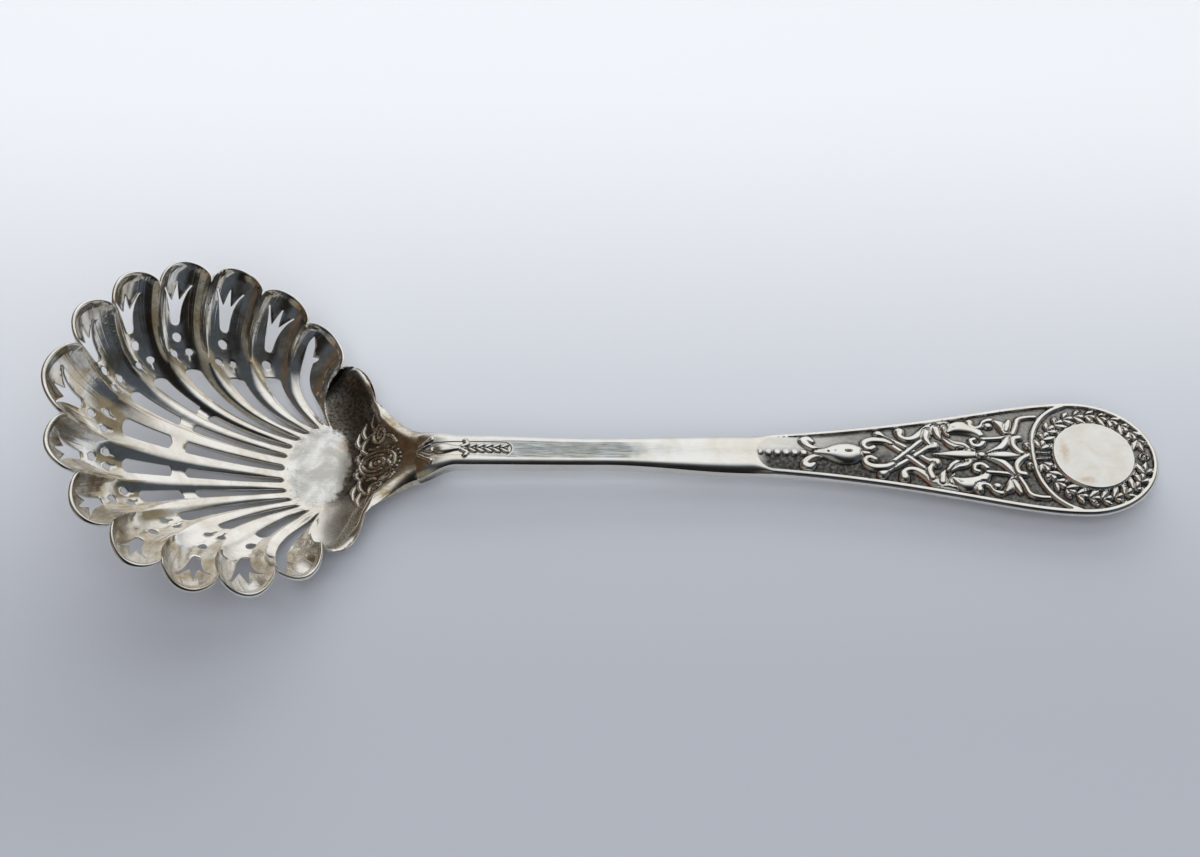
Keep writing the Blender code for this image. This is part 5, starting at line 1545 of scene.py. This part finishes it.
# Soft lamps, aimed at the spoon: name, place and size in metres, watts and colour.
LAMPS = (
    ("softbox", (-0.06, 0.62, 0.26), (0.7, 0.5), 2.4, "#f8faff"),
    ("overhead", (0, 0, 1.2), (1.6, 1.6), 3.2, "#fbfcff"),
    ("front_fill", (0.02, -0.62, 0.80), (0.9, 0.9), 5.8, "#fbfcff"),
)
CAMERA_PLACE = (-1.77 * MM, -163.1 * MM, 219.8 * MM)
CAMERA_TILT = 38.0
CAMERA_LENS = 54.6
CAMERA_SENSOR = 36.0
CAMERA_CLIP = 10 * MM


def build_floor():
    bm = bmesh.new()
    bmesh.ops.create_grid(bm, x_segments=8, y_segments=8, size=FLOOR_SIZE / 2)
    mesh = bpy.data.meshes.new("floor")
    bm.to_mesh(mesh)
    bm.free()
    mesh.materials.append(paper_with_painted_falloff())
    floor = bpy.data.objects.new("floor", mesh)
    bpy.context.scene.collection.objects.link(floor)


def vector_sum(tree, operation, *values):
    """A node that works out values or sockets as vectors."""
    return add_node(tree, "ShaderNodeVectorMath", dict(enumerate(values)), operation=operation)


def build_world():
    """A dim room with a soft window on the far side, dark behind the camera, and pale low down."""
    world = bpy.data.worlds.new("soft_daylight")
    world.use_nodes = True
    tree = world.node_tree
    place = add_node(tree, "ShaderNodeTexCoord").outputs["Generated"]
    colour = ROOM
    for direction, narrow, fading, gone, shade in AREAS:
        aim = Vector((direction[0] * narrow, direction[1], direction[2])).normalized()
        narrowed = vector_sum(tree, "MULTIPLY", place, (narrow, 1.0, 1.0)).outputs[0]
        facing = vector_sum(tree, "NORMALIZE", narrowed).outputs[0]
        facing = vector_sum(tree, "DOT_PRODUCT", facing, aim).outputs["Value"]
        limits = [math.cos(math.radians(angle)) for angle in (gone, fading)]
        share = remap(tree, facing, *limits, interpolation_type="SMOOTHSTEP")
        colour = blend(tree, share, colour, shade)
    height = add_node(tree, "ShaderNodeSeparateXYZ", {0: place}).outputs["Z"]
    colour = blend(tree, remap(tree, height, *HORIZON_FADE), HORIZON, colour)
    tree.links.new(colour, tree.nodes["Background"].inputs["Color"])
    bpy.context.scene.world = world


def build_lamp(name, place, size, watts, colour):
    lamp = bpy.data.lights.new(name, "AREA")
    lamp.shape = "RECTANGLE"
    lamp.size, lamp.size_y = size
    lamp.energy = watts
    lamp.color = linear(colour)[:3]
    item = bpy.data.objects.new(name, lamp)
    item.location = place
    item.rotation_euler = (Vector() - Vector(place)).to_track_quat("-Z", "Y").to_euler()
    item.visible_glossy = False
    bpy.context.scene.collection.objects.link(item)


def build_camera():
    data = bpy.data.cameras.new("camera")
    data.lens = CAMERA_LENS
    data.sensor_width = CAMERA_SENSOR
    data.clip_start = CAMERA_CLIP
    camera = bpy.data.objects.new("camera", data)
    camera.location = CAMERA_PLACE
    camera.rotation_euler = (math.radians(CAMERA_TILT), 0, 0)
    bpy.context.scene.collection.objects.link(camera)
    bpy.context.scene.camera = camera


def main():
    bpy.context.scene.view_settings.view_transform = "Standard"
    build_bowl(silver("polished_silver", "#efece5", "#b8a684", "#4a4238", 0.10, 3.0))
    build_stem(silver("oxidised_silver", "#ecebe6", "#d2c4a6", "#43413d", 0.13, 5.0))
    build_solder(silver("silver_solder", "#d9d6cc", "#b8a888", "#55504a", 0.25, 1.2))
    build_floor()
    build_world()
    for lamp in LAMPS:
        build_lamp(*lamp)
    build_camera()


main()
